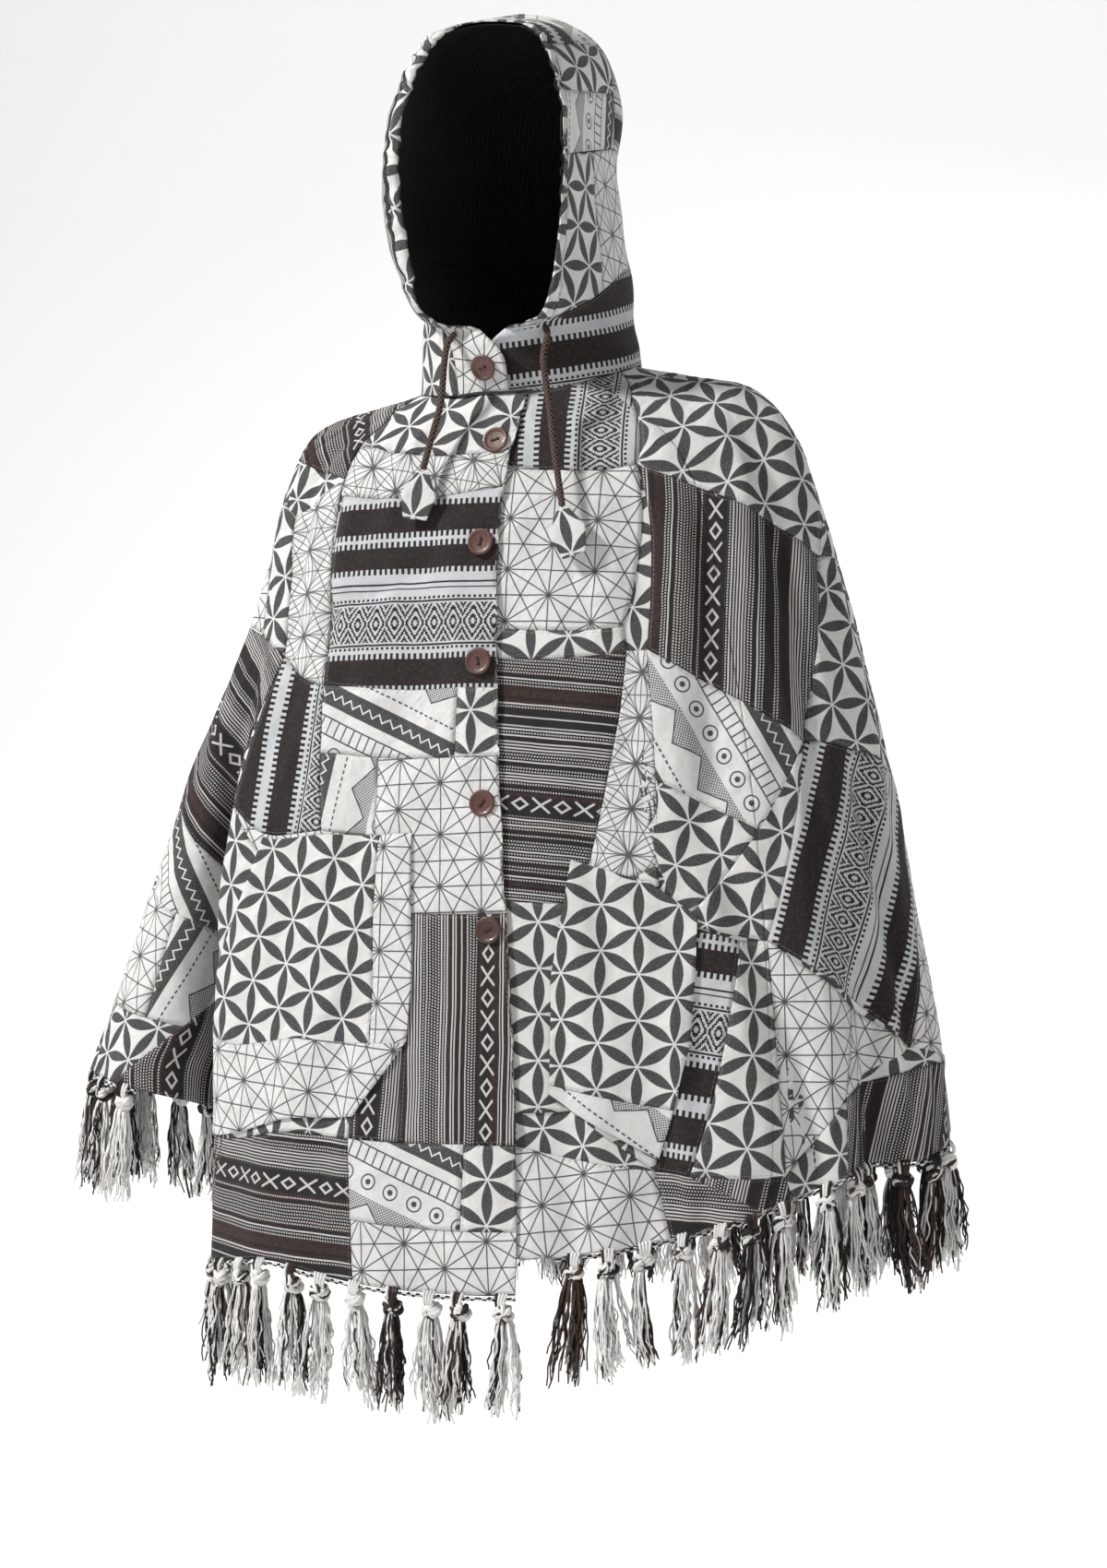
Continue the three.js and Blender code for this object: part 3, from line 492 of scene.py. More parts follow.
def hood_normal(side, u, up):
    u, v = np.clip(u, 0.01, 0.99), np.clip(up, 0.01, 0.985)
    a = hood_point(side, u + 0.01, v, 0) - hood_point(side, u - 0.01, v, 0)
    b = hood_point(side, u, v + 0.01, 0) - hood_point(side, u, v - 0.01, 0)
    n = np.cross(b, a) * -side
    n /= np.linalg.norm(n, axis=1)[:, None] + 1e-12
    n[:, 2] *= smooth(up / 0.1)
    return n / (np.linalg.norm(n, axis=1)[:, None] + 1e-12)


def hood_soft(side, u, up):
    """The hood's gathers and sags, how they fade at its edges, and the lift of the throat's lap."""
    gathers = 1.5 * np.sin(up * 74) * np.exp(-u * 9)
    sags = 4.5 * np.sin(up * 15 + u * 3 + side) * np.sin(math.pi * np.minimum(1, u * 1.1))
    ends = smooth((up - 0.1) / 0.15) * smooth((1 - up) / 0.15) * smooth((1 - u) / 0.15)
    throat = 1 - smooth((up - 0.13) / 0.12)
    over = THROAT_LIFT * (1 - smooth((u - 0.12) / 0.2)) * throat if side < 0 else 0.0
    return gathers + sags, ends, over


def cad_hood(side, u, up, depth, fine=0.0):
    """The hood's point in millimetres, as its solid has it but for the finer gathers."""
    form, ends, over = hood_soft(side, u, up)
    push = (form + fine) * ends + over - depth
    return hood_point(side, u, up) + hood_normal(side, u, up) * push[:, None]


def hood_place(side, u, up, depth):
    """Where the hood's cloth lies, a depth below its face, in metres."""
    u, up = np.clip(u, 0, 1), np.clip(up, 0, 1)
    wander = up * 150 + 2.5 * np.sin(up * 23) + 1.8 * np.sin(up * 51 + side)
    fine = 1.9 * np.sin(wander + u * 12) * np.exp(-((u - 0.02) ** 2) / 0.006)
    fine += 0.9 * np.sin(up * 31 - u * 13) * smooth(u / 0.3)
    fine += 1.1 * np.sin(wander * 0.37 + u * 7) * np.exp(-u * 7)
    point = cad_hood(side, u, up, depth, fine)
    past = np.where((u < 0.3) & (up < 0.26), -THROAT_OVERLAP * 2.0, 0.1)
    point[:, 0] = side * np.maximum(side * point[:, 0], past)
    point[:, 0] += HOOD_LEAN * smooth((up - 0.2) / 0.25)
    point[:, 2] -= 1.05 * (1 - smooth(up / 0.05))
    return point * MM


class Term:
    """A number that a material's nodes work out, so that a pattern reads as a sum."""

    def __init__(self, tree, value):
        self.tree, self.value = tree, value

    def op(self, kind, *others):
        node = self.tree.nodes.new("ShaderNodeMath")
        node.operation = kind
        for socket, value in zip(node.inputs, (self, *others)):
            value = value.value if isinstance(value, Term) else value
            if isinstance(value, (int, float)):
                socket.default_value = value
            else:
                self.tree.links.new(value, socket)
        return Term(self.tree, node.outputs[0])

    def __add__(self, other):
        return self.op("ADD", other)

    def __sub__(self, other):
        return self.op("SUBTRACT", other)

    def __mul__(self, other):
        return self.op("MULTIPLY", other)

    def __truediv__(self, other):
        return self.op("DIVIDE", other)

    def __mod__(self, other):
        return self.op("FLOORED_MODULO", other)

    def __abs__(self):
        return self.op("ABSOLUTE")

    def flip(self, whole=1.0):
        return Term(self.tree, whole).op("SUBTRACT", self)

    def step(self, soft):
        """0 below zero and 1 above it, over a width of soft."""
        term = self.op("MULTIPLY_ADD", 1.0 / soft, 0.5)
        term.value.node.use_clamp = True
        return term

    def line(self, half, soft):
        """1 within half of zero."""
        return (abs(self).flip(half)).step(soft)

    def either(self, other):
        return self.op("MAXIMUM", other)

    def both(self, other):
        return self.op("MINIMUM", other)

    def whole(self):
        return self.op("ROUND")

    def sin(self):
        return self.op("SINE")


def noise(tree, vector, scale, detail=2.0, rough=0.5):
    node = tree.nodes.new("ShaderNodeTexNoise")
    node.inputs["Scale"].default_value = scale
    node.inputs["Detail"].default_value = detail
    node.inputs["Roughness"].default_value = rough
    tree.links.new(vector, node.inputs["Vector"])
    return Term(tree, node.outputs["Fac"])


def mixed(tree, factor, low, high):
    """low where factor is 0, high where it is 1."""
    node = tree.nodes.new("ShaderNodeMix")
    node.data_type = "RGBA"
    tree.links.new(factor.value, node.inputs["Factor"])
    for name, value in (("A", low), ("B", high)):
        socket = next(s for s in node.inputs if s.name == name and s.type == "RGBA")
        if isinstance(value, tuple):
            socket.default_value = (*value, 1.0)
        else:
            tree.links.new(value, socket)
    return next(s for s in node.outputs if s.type == "RGBA")


def turned(u, v, degrees):
    c, s = math.cos(math.radians(degrees)), math.sin(math.radians(degrees))
    return u * c + v * s, v * c - u * s


SOFT = 0.0006  # width of a printed edge


def petals(u, v, size, fat, outline=0.0):
    """Lens petals on the edges of a triangular lattice, six round each point."""
    rise = size * math.sqrt(3) / 2
    total = None
    for degrees in (0, 60, 120):
        a, b = turned(u, v, degrees)
        row = (b / rise).whole()
        off = b - row * rise
        share = ((a - row * (size / 2)) % size) / size - 0.5
        lens = (share * share * 4.6).flip() * (fat * size) - abs(off)
        mark = lens.line(outline, SOFT) if outline else lens.step(SOFT)
        total = mark if total is None else total.either(mark)
    return total


def rays(u, v, size, half):
    """Thin lines that cross twelve at a time at the points of a triangular lattice."""
    rise = size * math.sqrt(3) / 2
    total = None
    for degrees in (0, 60, 120):
        for extra, gap in ((0, rise), (30, size / 2)):
            b = turned(u, v, degrees + extra)[1]
            mark = (b - (b / gap).whole() * gap).line(half, SOFT)
            total = mark if total is None else total.either(mark)
    return total


def within(v, low, high, soft=SOFT):
    return (v - low).step(soft).both((v.flip(high)).step(soft))


def print_petal(u, v):
    return petals(v, u, 0.040, 0.122)


def dots(u, v, size, radius):
    """A dot at each point of a triangular lattice."""
    rise = size * math.sqrt(3) / 2
    row = (v / rise).whole()
    a = ((u - row * (size / 2) + size / 2) % size) - size / 2
    b = v - row * rise
    return ((a * a + b * b).op("SQRT").flip(radius)).step(SOFT)


def print_lattice(u, v):
    return petals(v, u, 0.040, 0.15, 0.0005).either(rays(v, u, 0.040, 0.00042))


def print_star(u, v):
    return rays(v, u, 0.046, 0.00058).either(dots(v, u, 0.046, 0.0019))


def every(value, gap):
    """The distance from the middle of each step of a repeat."""
    return (value % gap) - gap / 2


def print_doodle(u, v):
    """Plain bands of zigzags, ladders, rings, hatched peaks and dashes."""
    a, b = turned(u, v, 24)
    band = b % 0.116
    zigzag = (band - 0.0078 - abs(every(a, 0.011)) * 1.1).line(0.0010, SOFT)
    block = within(band, 0.001, 0.0200).both(zigzag.flip())
    rungs = every(a, 0.0085).line(0.0007, SOFT).both(within(band, 0.030, 0.045))
    rails = (band - 0.030).line(0.0007, SOFT).either((band - 0.045).line(0.0007, SOFT))
    da, db = every(a, 0.024), band - 0.059
    spot = (da * da + db * db).op("SQRT")
    rings = (spot - 0.0066).line(0.0007, SOFT).either((spot.flip(0.0026)).step(SOFT))
    one, two = (every(way, 0.0030).line(0.00045, SOFT) for way in (a + b, a - b))
    peak = abs(every(a, 0.046)) * 0.75 + band - 0.094
    hatched = one.either(two).both(peak.step(SOFT).flip()).both((band - 0.072).step(SOFT))
    dash = every(a, 0.006).line(0.0018, SOFT).both((band - 0.106).line(0.0008, SOFT))
    total = block
    for mark in (rungs, rails, rings, hatched, peak.line(0.0008, SOFT), dash):
        total = total.either(mark)
    return total


def chance(term, seed):
    """A number from 0 to 1 that is fixed for each whole number."""
    tree = term.tree
    node = tree.nodes.new("ShaderNodeTexWhiteNoise")
    node.noise_dimensions = "1D"
    tree.links.new((term + seed).value, node.inputs["W"])
    return Term(tree, node.outputs["Value"])


# The striped cloth: its whole repeat, its rows of thread and its figures' width, in metres.
STRIPE_REPEAT = 0.150
THREAD_ROW = 0.0028
FIGURE = 0.0194


def woven_striped(u, v):
    """Dark stripes between broken white threads, and a band of crosses and lozenges."""
    wide = v % STRIPE_REPEAT
    row = (v / THREAD_ROW).whole()
    off = v / THREAD_ROW - row
    kind = chance(row, 0.37)
    group = chance((v / (4 * THREAD_ROW)).whole(), 0.71)
    whole = (kind - 0.80).step(0.01)
    pick = every(u / 0.0026 + kind * 5, 1.0)
    broken = pick.line(0.27, 0.12).either(whole).either((group - 0.84).step(0.01))
    shown = (kind - 0.28).step(0.01).both((group - 0.09).step(0.01).either(whole))
    thread = off.line(0.23, 0.12).both(broken).both(shown)
    a = every(u, FIGURE) / 0.0091
    b = (wide - 0.080) / 0.0064
    cross = (abs(a) - abs(b)).line(0.19, 0.1)
    ring = (abs(a) + abs(b) - 0.74).line(0.19, 0.1)
    odd = every(u, 2 * FIGURE).step(0.0004)
    inner = (abs(b).flip(1.0)).step(0.1).both((abs(a).flip(0.98)).step(0.1))
    figure = cross.both(odd).either(ring.both(odd.flip())).both(inner)
    plain = (abs(b) - 1.7).step(0.1)
    return (thread.both(plain) * (kind * 0.45 + 0.72)).both(1.0).either(figure)


# The toothed cloth's bands: middle, half height, and whether it has teeth, in millimetres.
BANDS = ((20, 12, 1), (55, 10, 1), (159, 12, 1), (79, 0.9, 0), (84, 0.6, 0))
BAND_REPEAT = 182
CHAIN = 115
CHAIN_HALF = 17


def woven_toothed(u, v):
    """Pale grey cloth with dark bands that have toothed edges, and a chain of lozenges."""
    v = (v / MM) % BAND_REPEAT
    u = u / MM
    notch = every(u, 5.6).step(0.4)
    total = None
    for middle, half, toothed in BANDS:
        away = abs(v - middle)
        mark = (away.flip(half)).step(0.6)
        if toothed:
            mark = mark.either((away.flip(half + 5.0)).step(0.6).both(notch))
        total = mark if total is None else total.either(mark)
    a = abs(every((u / 1.3).whole() * 1.3, 19.5)) / 9.75
    b = abs((v / 1.3).whole() * 1.3 - CHAIN) / CHAIN_HALF
    ring = ((a * 0.9 + b) * 2.2) % 1.0
    lozenge = (ring - 0.48).step(0.15).both((abs(v - CHAIN).flip(CHAIN_HALF)).step(0.6))
    rails = (abs(v - CHAIN) - CHAIN_HALF - 2.4).line(0.9, 0.6)
    dash = every(u, 5.0).step(0.4).both((abs(v - CHAIN) - CHAIN_HALF - 5.4).line(1.2, 0.5))
    return total.either(lozenge).either(rails).either(dash)


# Each fabric's pattern, and the colours of its marks (darkest and palest) and of its ground.
WHITE_THREAD = (0.74, 0.72, 0.70)
PRINTED = ((0.0180, 0.0174, 0.0186), (0.0510, 0.0493, 0.0527), (0.80, 0.79, 0.765))
CLOTHS = {
    "petal": (print_petal, *PRINTED),
    "lattice": (print_lattice, *PRINTED),
    "star": (print_star, *PRINTED),
    "doodle": (print_doodle, *PRINTED),
    "striped": (woven_striped, WHITE_THREAD, (0.592, 0.576, 0.560), (0.012, 0.009, 0.009)),
    "toothed": (woven_toothed, (0.009, 0.007, 0.008), (0.062, 0.027, 0.018), (0.66, 0.67, 0.69)),
}
WOVEN = ("striped", "toothed")
YARNS = {
    "white": (0.80, 0.79, 0.76),
    "black": (0.012, 0.010, 0.010),
    "brown": (0.055, 0.030, 0.022),
}


def start_material(name):
    material = bpy.data.materials.new(name)
    material.use_nodes = True
    tree = material.node_tree
    return material, tree, tree.nodes["Principled BSDF"]


def object_coords(tree):
    return tree.nodes.new("ShaderNodeTexCoord").outputs["Object"]


def tint(colour, share):
    return tuple(min(1.0, c * share) for c in colour)


def coat(tree, shader, colour, roughness, relief, distance):
    """Gives the shader its colour, its roughness and its relief."""
    tree.links.new(colour, shader.inputs["Base Color"])
    shader.inputs["Roughness"].default_value = roughness
    node = tree.nodes.new("ShaderNodeBump")
    node.inputs["Strength"].default_value = 1.0
    node.inputs["Distance"].default_value = distance
    tree.links.new(relief.value, node.inputs["Height"])
    tree.links.new(node.outputs["Normal"], shader.inputs["Normal"])


def uv_terms(tree, name):
    node = tree.nodes.new("ShaderNodeUVMap")
    node.uv_map = name
    split = tree.nodes.new("ShaderNodeSeparateXYZ")
    tree.links.new(node.outputs["UV"], split.inputs[0])
    return Term(tree, split.outputs["X"]), Term(tree, split.outputs["Y"]), node.outputs["UV"]


def cloth_material(kind):
    """One of the six fabrics, with its weave, its seams' stitches, painted shade along its seams and
    its soft unevenness.
    """
    material, tree, shader = start_material("cloth_" + kind)
    u, v, coords = uv_terms(tree, "cloth")
    eu, ev, _ = uv_terms(tree, "edge")
    near = eu.both(ev)
    woven = kind in WOVEN
    pattern, low, high, ground = CLOTHS[kind]
    wander = noise(tree, coords, 26, 2) * 0.0016
    mark = pattern(u + wander, v + wander)
    cloudy = noise(tree, coords, 42, 5, 0.62)
    worn = tint(ground, 0.80 if woven else 0.86)
    base = mixed(tree, (cloudy * 2.6 - 0.95).step(1.0), worn, ground)
    if kind == "striped":
        ink = mixed(tree, cloudy, low, high)
        rows = (chance((v / THREAD_ROW).whole(), 0.11) * 6 - 4.3).step(1.0)
        brown = rows * (noise(tree, coords, 300, 3, 0.7) * 5 - 2.3).step(1.0)
        base = mixed(tree, brown, ground, (0.050, 0.022, 0.016))
    elif kind == "toothed":
        ink = mixed(tree, (noise(tree, coords, 260, 5, 0.8) * 5 - 2.9).step(1.0), low, high)
    else:
        # The printing ink took nearly whole, but for a few worn threads.
        mark = mark.both((noise(tree, coords, 1100, 3, 0.7) * 1.1 + 0.42).both(1.0))
        ink = mixed(tree, noise(tree, coords, 240, 3), low, high)
    colour = mixed(tree, mark, base, ink)
    dashes = every(u + v, 0.0042).line(0.0014, 0.0003)
    stitch = (near - 0.0026).line(0.0003, 0.0003).both(dashes)
    colour = mixed(tree, stitch * 0.5, colour, (0.36, 0.33, 0.31) if woven else (0.30, 0.29, 0.28))
    # Painted shade: within about a millimetre of each seam the colour darkens towards near black,
    # standing for the shade in the seam's hollow; deep is how dark it gets.
    deep = 0.55 if woven else 0.38
    seam_shade = (near - 0.0004).step(0.0012) * deep + (1 - deep)
    colour = mixed(tree, seam_shade, (0.05, 0.045, 0.04), colour)
    shader.inputs["Sheen Weight"].default_value = 0.04
    shader.inputs["Sheen Roughness"].default_value = 0.5
    turns = 2 * math.pi / (0.0011 if woven else 0.0007)
    weave = (u * turns).sin() * (v * turns).sin() * (0.30 if woven else 0.16)
    pucker = (near * -260.0).op("EXPONENT") * (((u + v) * 900).sin() * 0.5 - 1.6)
    rough = noise(tree, coords, 120, 4, 0.6) * 1.6
    crumple = noise(tree, coords, 27, 3, 0.5) * (6.0 if woven else 14.0)
    coat(tree, shader, colour, 0.92, weave + pucker + rough + crumple, 0.0008)
    return material


def reverse_material():
    """The inside of the body: the cloths' paler backs, seen only in shade."""
    material, tree, shader = start_material("cloth_reverse")
    coords = object_coords(tree)
    colour = mixed(tree, noise(tree, coords, 9, 4), (0.26, 0.25, 0.235), (0.42, 0.41, 0.39))
    coat(tree, shader, colour, 0.95, noise(tree, coords, 700, 3), 0.0004)
    return material


def lining_material():
    """Black ribbed knit, with painted shade in the valleys between its ribs."""
    material, tree, shader = start_material("lining_rib")
    u, _, coords = uv_terms(tree, "cloth")
    ribs = (u * (2 * math.pi / 0.0042)).sin()
    # Painted shade: the colour follows the ribs' relief, darkest in the valleys between them and
    # palest on their crests.
    colour = mixed(tree, ribs * 0.5 + 0.5, (0.004, 0.004, 0.004), (0.020, 0.019, 0.019))
    coat(tree, shader, colour, 0.9, ribs + noise(tree, coords, 900, 2) * 0.5, 0.0007)
    return material


def yarn_material(tone):
    material, tree, shader = start_material("yarn_" + tone)
    coords = object_coords(tree)
    low, high = tint(YARNS[tone], 0.7), tint(YARNS[tone], 1.2)
    colour = mixed(tree, noise(tree, coords, 60, 2), low, high)
    coat(tree, shader, colour, 0.85, noise(tree, coords, 1500, 2), 0.0004)
    return material


def cord_material():
    """Dark brown braid, its strands crossing along the cord, with painted shade in the gaps between
    them.
    """
    material, tree, shader = start_material("cord_braid")
    split = tree.nodes.new("ShaderNodeSeparateXYZ")
    tree.links.new(object_coords(tree), split.inputs[0])
    x, z = Term(tree, split.outputs["X"]), Term(tree, split.outputs["Z"])
    braid = ((z + x * 1.2) * 1500).sin().either(((z - x * 1.2) * 1500).sin())
    # Painted shade: where both crossing strands are low, in the gaps between them, the colour goes
    # near black; the strands themselves are brown.
    colour = mixed(tree, (braid - 0.35).step(0.5), (0.008, 0.005, 0.005), (0.13, 0.075, 0.058))
    coat(tree, shader, colour, 0.8, braid, 0.0009)
    return material


def button_material(name, colour):
    """Polished coconut shell, with its streaks and specks."""
    material, tree, shader = start_material(name)
    coords = object_coords(tree)
    streak = tree.nodes.new("ShaderNodeMapping")
    streak.inputs["Scale"].default_value = (1.0, 1.0, 0.25)
    tree.links.new(coords, streak.inputs["Vector"])
    shell = noise(tree, streak.outputs[0], 420, 5, 0.65)
    specks = (noise(tree, coords, 1300, 2) * 6 - 3.7).step(1.0)
    base = mixed(tree, shell, tint(colour, 0.6), tint(colour, 1.6))
    shader.inputs["Coat Weight"].default_value = 0.15
    coat(tree, shader, mixed(tree, specks * 0.5, base, tint(colour, 3.0)), 0.45, shell, 0.0003)
    return material


def shared(name, make, *args):
    return bpy.data.materials.get(name) or make(*args)


def faced(inside):
    """The six fabrics, then what the inside of each shows."""
    outside = [shared("cloth_" + kind, cloth_material, kind) for kind in CLOTHS]
    return outside + [inside] * len(CLOTHS)


def yarn(tone):
    return shared("yarn_" + tone, yarn_material, tone)


def mesh_from(bm, name):
    mesh = bpy.data.meshes.new(name)
    bm.to_mesh(mesh)
    bm.free()
    return mesh


def link(name, data, *materials):
    """A new object in the scene, with its materials."""
    thing = bpy.data.objects.new(name, data)
    bpy.context.collection.objects.link(thing)
    for material in materials:
        data.materials.append(material)
    return thing


def keep_side(bm, point, normal):
    """Cuts the flat cloth along a line and leaves what lies behind it."""
    geom = bm.verts[:] + bm.edges[:] + bm.faces[:]
    bmesh.ops.bisect_plane(bm, geom=geom, dist=1e-6, plane_co=point, plane_no=normal, clear_outer=True)


def patch_mesh(row, place, cuts, pitch, index, scale=EVEN):
    """A patch as a flat grid in the cloth's own two numbers, cut by lines, then put in place.
    Its first UV map is the fabric in metres and its second the distance from its seams."""
    cloth, turn, start, *numbers = row
    if len(numbers) == 4:
        left, top, right, foot = numbers
        numbers = left, top, right, top, left, foot, right, foot
    corners = np.array(numbers, float).reshape(4, 2)

    def laid(nx, ny):
        a, b = np.meshgrid(np.linspace(0, 1, nx + 1), np.linspace(0, 1, ny + 1))
        a, b = a.ravel()[:, None], b.ravel()[:, None]
        shares = ((1 - a) * (1 - b), a * (1 - b), (1 - a) * b, a * b)
        p = sum(corner * share for corner, share in zip(corners, shares))
        return p, place(p[:, 0], p[:, 1], 0.0).reshape(ny + 1, nx + 1, 3)

    rough = laid(12, 12)[1]
    wide = np.linalg.norm(np.diff(rough, axis=1), axis=2).sum(1).max()
    tall = np.linalg.norm(np.diff(rough, axis=0), axis=2).sum(0).max()
    nx, ny = max(2, round(wide / pitch)), max(2, round(tall / pitch))
    flat, grid = laid(nx, ny)
    fabric, near = fabric_map(grid, turn, index * 0.0371, start * MM)
    bm = bmesh.new()
    bmesh.ops.create_grid(bm, x_segments=nx, y_segments=ny, size=0.5)
    maps = [bm.loops.layers.uv.new(name) for name in ("cloth", "edge")]
    for face in bm.faces:
        for loop in face.loops:
            i, j = round((loop.vert.co.x + 0.5) * nx), round((0.5 - loop.vert.co.y) * ny)
            loop[maps[0]].uv = fabric[j, i]
            loop[maps[1]].uv = near[j, i]
    for vert in bm.verts:
        i, j = round((vert.co.x + 0.5) * nx), round((0.5 - vert.co.y) * ny)
        p = flat[j * (nx + 1) + i]
        vert.co = (p[0], p[1] * scale, 0.0)
    for point, normal in cuts:
        if bm.verts:
            keep_side(bm, (point[0], point[1] * scale, 0.0), (normal[0], normal[1] / scale, 0.0))
    if not bm.faces:
        bm.free()
        return None
    flat = np.array([v.co for v in bm.verts])
    where = place(flat[:, 0], flat[:, 1] / scale, -LAYER * (index % LAYERS))
    for vert, p in zip(bm.verts, where):
        vert.co = p
    slot = list(CLOTHS).index(cloth)
    for face in bm.faces:
        face.material_index = slot
        face.smooth = True
    return mesh_from(bm, "patch")


def fabric_map(grid, turn, shift, start):
    """The fabric's two coordinates at a grid's points, true to its lengths, and how far each
    point is from the side and the end seams. Its first edge and its top are where they begin."""
    across, down = np.diff(grid, axis=1), np.diff(grid, axis=0)
    normal = np.cross(np.gradient(grid, axis=1), np.gradient(grid, axis=0))
    normal /= np.linalg.norm(normal, axis=2)[..., None] + 1e-15
    axis = grid[-1].mean(0) - grid[0].mean(0)
    ahead = axis - normal * (normal @ axis)[..., None]
    ahead /= np.linalg.norm(ahead, axis=2)[..., None] + 1e-15
    side = np.cross(ahead, normal)
    side *= np.sign((side * np.gradient(grid, axis=1)).sum())
    mid = grid.shape[1] // 2
    parts = []
    for way in (side, ahead):
        steps = (across * (way[:, 1:] + way[:, :-1]) / 2).sum(2)
        drop = (down[:, mid] * (way[1:, mid] + way[:-1, mid]) / 2).sum(1)
        value = np.concatenate([np.zeros((len(grid), 1)), np.cumsum(steps, axis=1)], axis=1)
        value += (np.concatenate([[0.0], np.cumsum(drop)]) - value[:, mid])[:, None]
        parts.append(value)
    x, y = parts[0] - parts[0][len(grid) // 2, 0], parts[1]
    c, s = math.cos(math.radians(turn)), math.sin(math.radians(turn))
    fabric = np.stack([x * c + y * s + shift, y * c - x * s + start], -1)
    runs = []
    for steps, k in ((across, 1), (down, 0)):
        run = np.cumsum(np.linalg.norm(steps, axis=2), axis=k)
        run = np.concatenate([np.zeros_like(run.take([0], axis=k)), run], axis=k)
        runs.append(np.minimum(run, run.take([-1], axis=k) - run))
    return fabric, np.stack(runs, -1)


def joined(name, meshes, materials, thickness):
    """One piece from several patches, made thick towards its inside, which has the second half
    of the materials."""
    bm = bmesh.new()
    for mesh in meshes:
        if mesh:
            bm.from_mesh(mesh)
            bpy.data.meshes.remove(mesh)
    bmesh.ops.dissolve_degenerate(bm, dist=1e-6, edges=bm.edges[:])
    piece = link(name, mesh_from(bm, name), *materials)
    solid = piece.modifiers.new("thickness", "SOLIDIFY")
    solid.thickness = thickness
    solid.offset = -1.0
    solid.use_even_offset = False
    solid.material_offset = len(materials) // 2
    solid.material_offset_rim = 0
    return piece


def line_cut(edge, keep):
    """The cut along a panel's long edge. keep is 1 to keep larger angles and -1 smaller ones."""
    angle, slope = edge
    return (angle + keep * SEAM_HALF, 0.0), (-keep, keep * slope)


def hang(piece, *nodes, slot="patchwork"):
    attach(piece, "root")
    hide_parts(*nodes)


def patch_rows(panel):
    """A panel's patches: fabric, turn, start, and the corners' numbers."""
    if panel == "back":
        for j, cloths in enumerate(BACK_CLOTHS):
            for i, words in enumerate(cloths):
                cloth, turn = words.split()
                a, b, c, d = *BACK_ANGLES[i : i + 2], *BACK_DOWNS[j : j + 2]
                yield cloth, float(turn), 17 * i + 31 * j, a, c, b, d
    else:
        for *cloth, names in PATCHES_RIGHT if panel.endswith("right") else PATCHES_LEFT:
            yield *cloth, *(number for name in names.split() for number in CORNERS[name])


def panel_piece(name, pitch, thick):
    """A panel of the body: its patches, cut at its long edges, on a backing of its own. The
    backing stands for the seams' turned-in edges, so that nothing shows through between them."""
    low, high, (a0, a1), _ = PANELS[name]
    cuts = [line_cut(edge, keep) for edge, keep in ((low, 1), (high, -1)) if edge]

    def place(angle, down, depth):
        if name == "front_right":
            angle = np.minimum(angle, front_angle(placket_x(down), down))
        if name == "front_left":
            angle = np.maximum(angle, front_angle(placket_x(down) - UNDERLAP, down))
        if name.endswith("left"):
            down = np.minimum(down, hem_share(angle))
        return body_place(name, angle, np.clip(down, 0, 1), depth)

    def under(angle, down, depth):
        return place(angle, down, BACKING_DEPTH)

    materials = faced(shared("cloth_reverse", reverse_material))
    row = ("petal", 0, 0, a0, 0, a1, 1)
    backing = patch_mesh(row, under, cuts, pitch * 1.3, 0)
    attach(joined("seams_" + name, [backing], materials, 0.0004), "root")
    meshes = [patch_mesh(row, place, cuts, pitch, k) for k, row in enumerate(patch_rows(name))]
    return joined("cloth_" + name, meshes, materials, thick)


def size_property(name, default, description):
    return bpy.props.FloatProperty(
        name=name, description=description, default=default, unit="LENGTH"
    )


class PonchoCloth(bpy.types.PropertyGroup):
    pitch: size_property("Mesh pitch", 0.0055, "Size of the cloth's mesh cells")
    thick: size_property("Cloth thickness", 0.0014, "Thickness of the cloth")


class PonchoTrim(bpy.types.PropertyGroup):
    button: size_property("Button width", 0.024, "Diameter of a button")
    tassel: size_property("Tassel length", 0.084, "Mean length of a tassel")
    strands: bpy.props.IntProperty(name="Strands", description="Yarns in a tassel", default=64)
    backdrop: bpy.props.FloatVectorProperty(
        name="Backdrop",
        description="Colour of the backdrop",
        default=(0.92, 0.92, 0.92),
        subtype="COLOR",
    )


# The stage: the camera's turn about the poncho, its distance and what it looks at (to its right
# and up), the floor's height, and the lamps with their places, sizes and powers.
AZIMUTH = math.radians(20)
DISTANCE = 3.2
AIM = (0.020, -0.370)
FLOOR = -1.55
MIDDLE = Vector((0, 0, -0.4))
LAMPS = (
    ("key", (-2.4, -1.8, 2.3), 0.5, 200),
    ("fill", (2.7, -1.9, 0.3), 2.2, 26),
    ("back", (0.4, 2.6, 2.2), 2.4, 40),
)


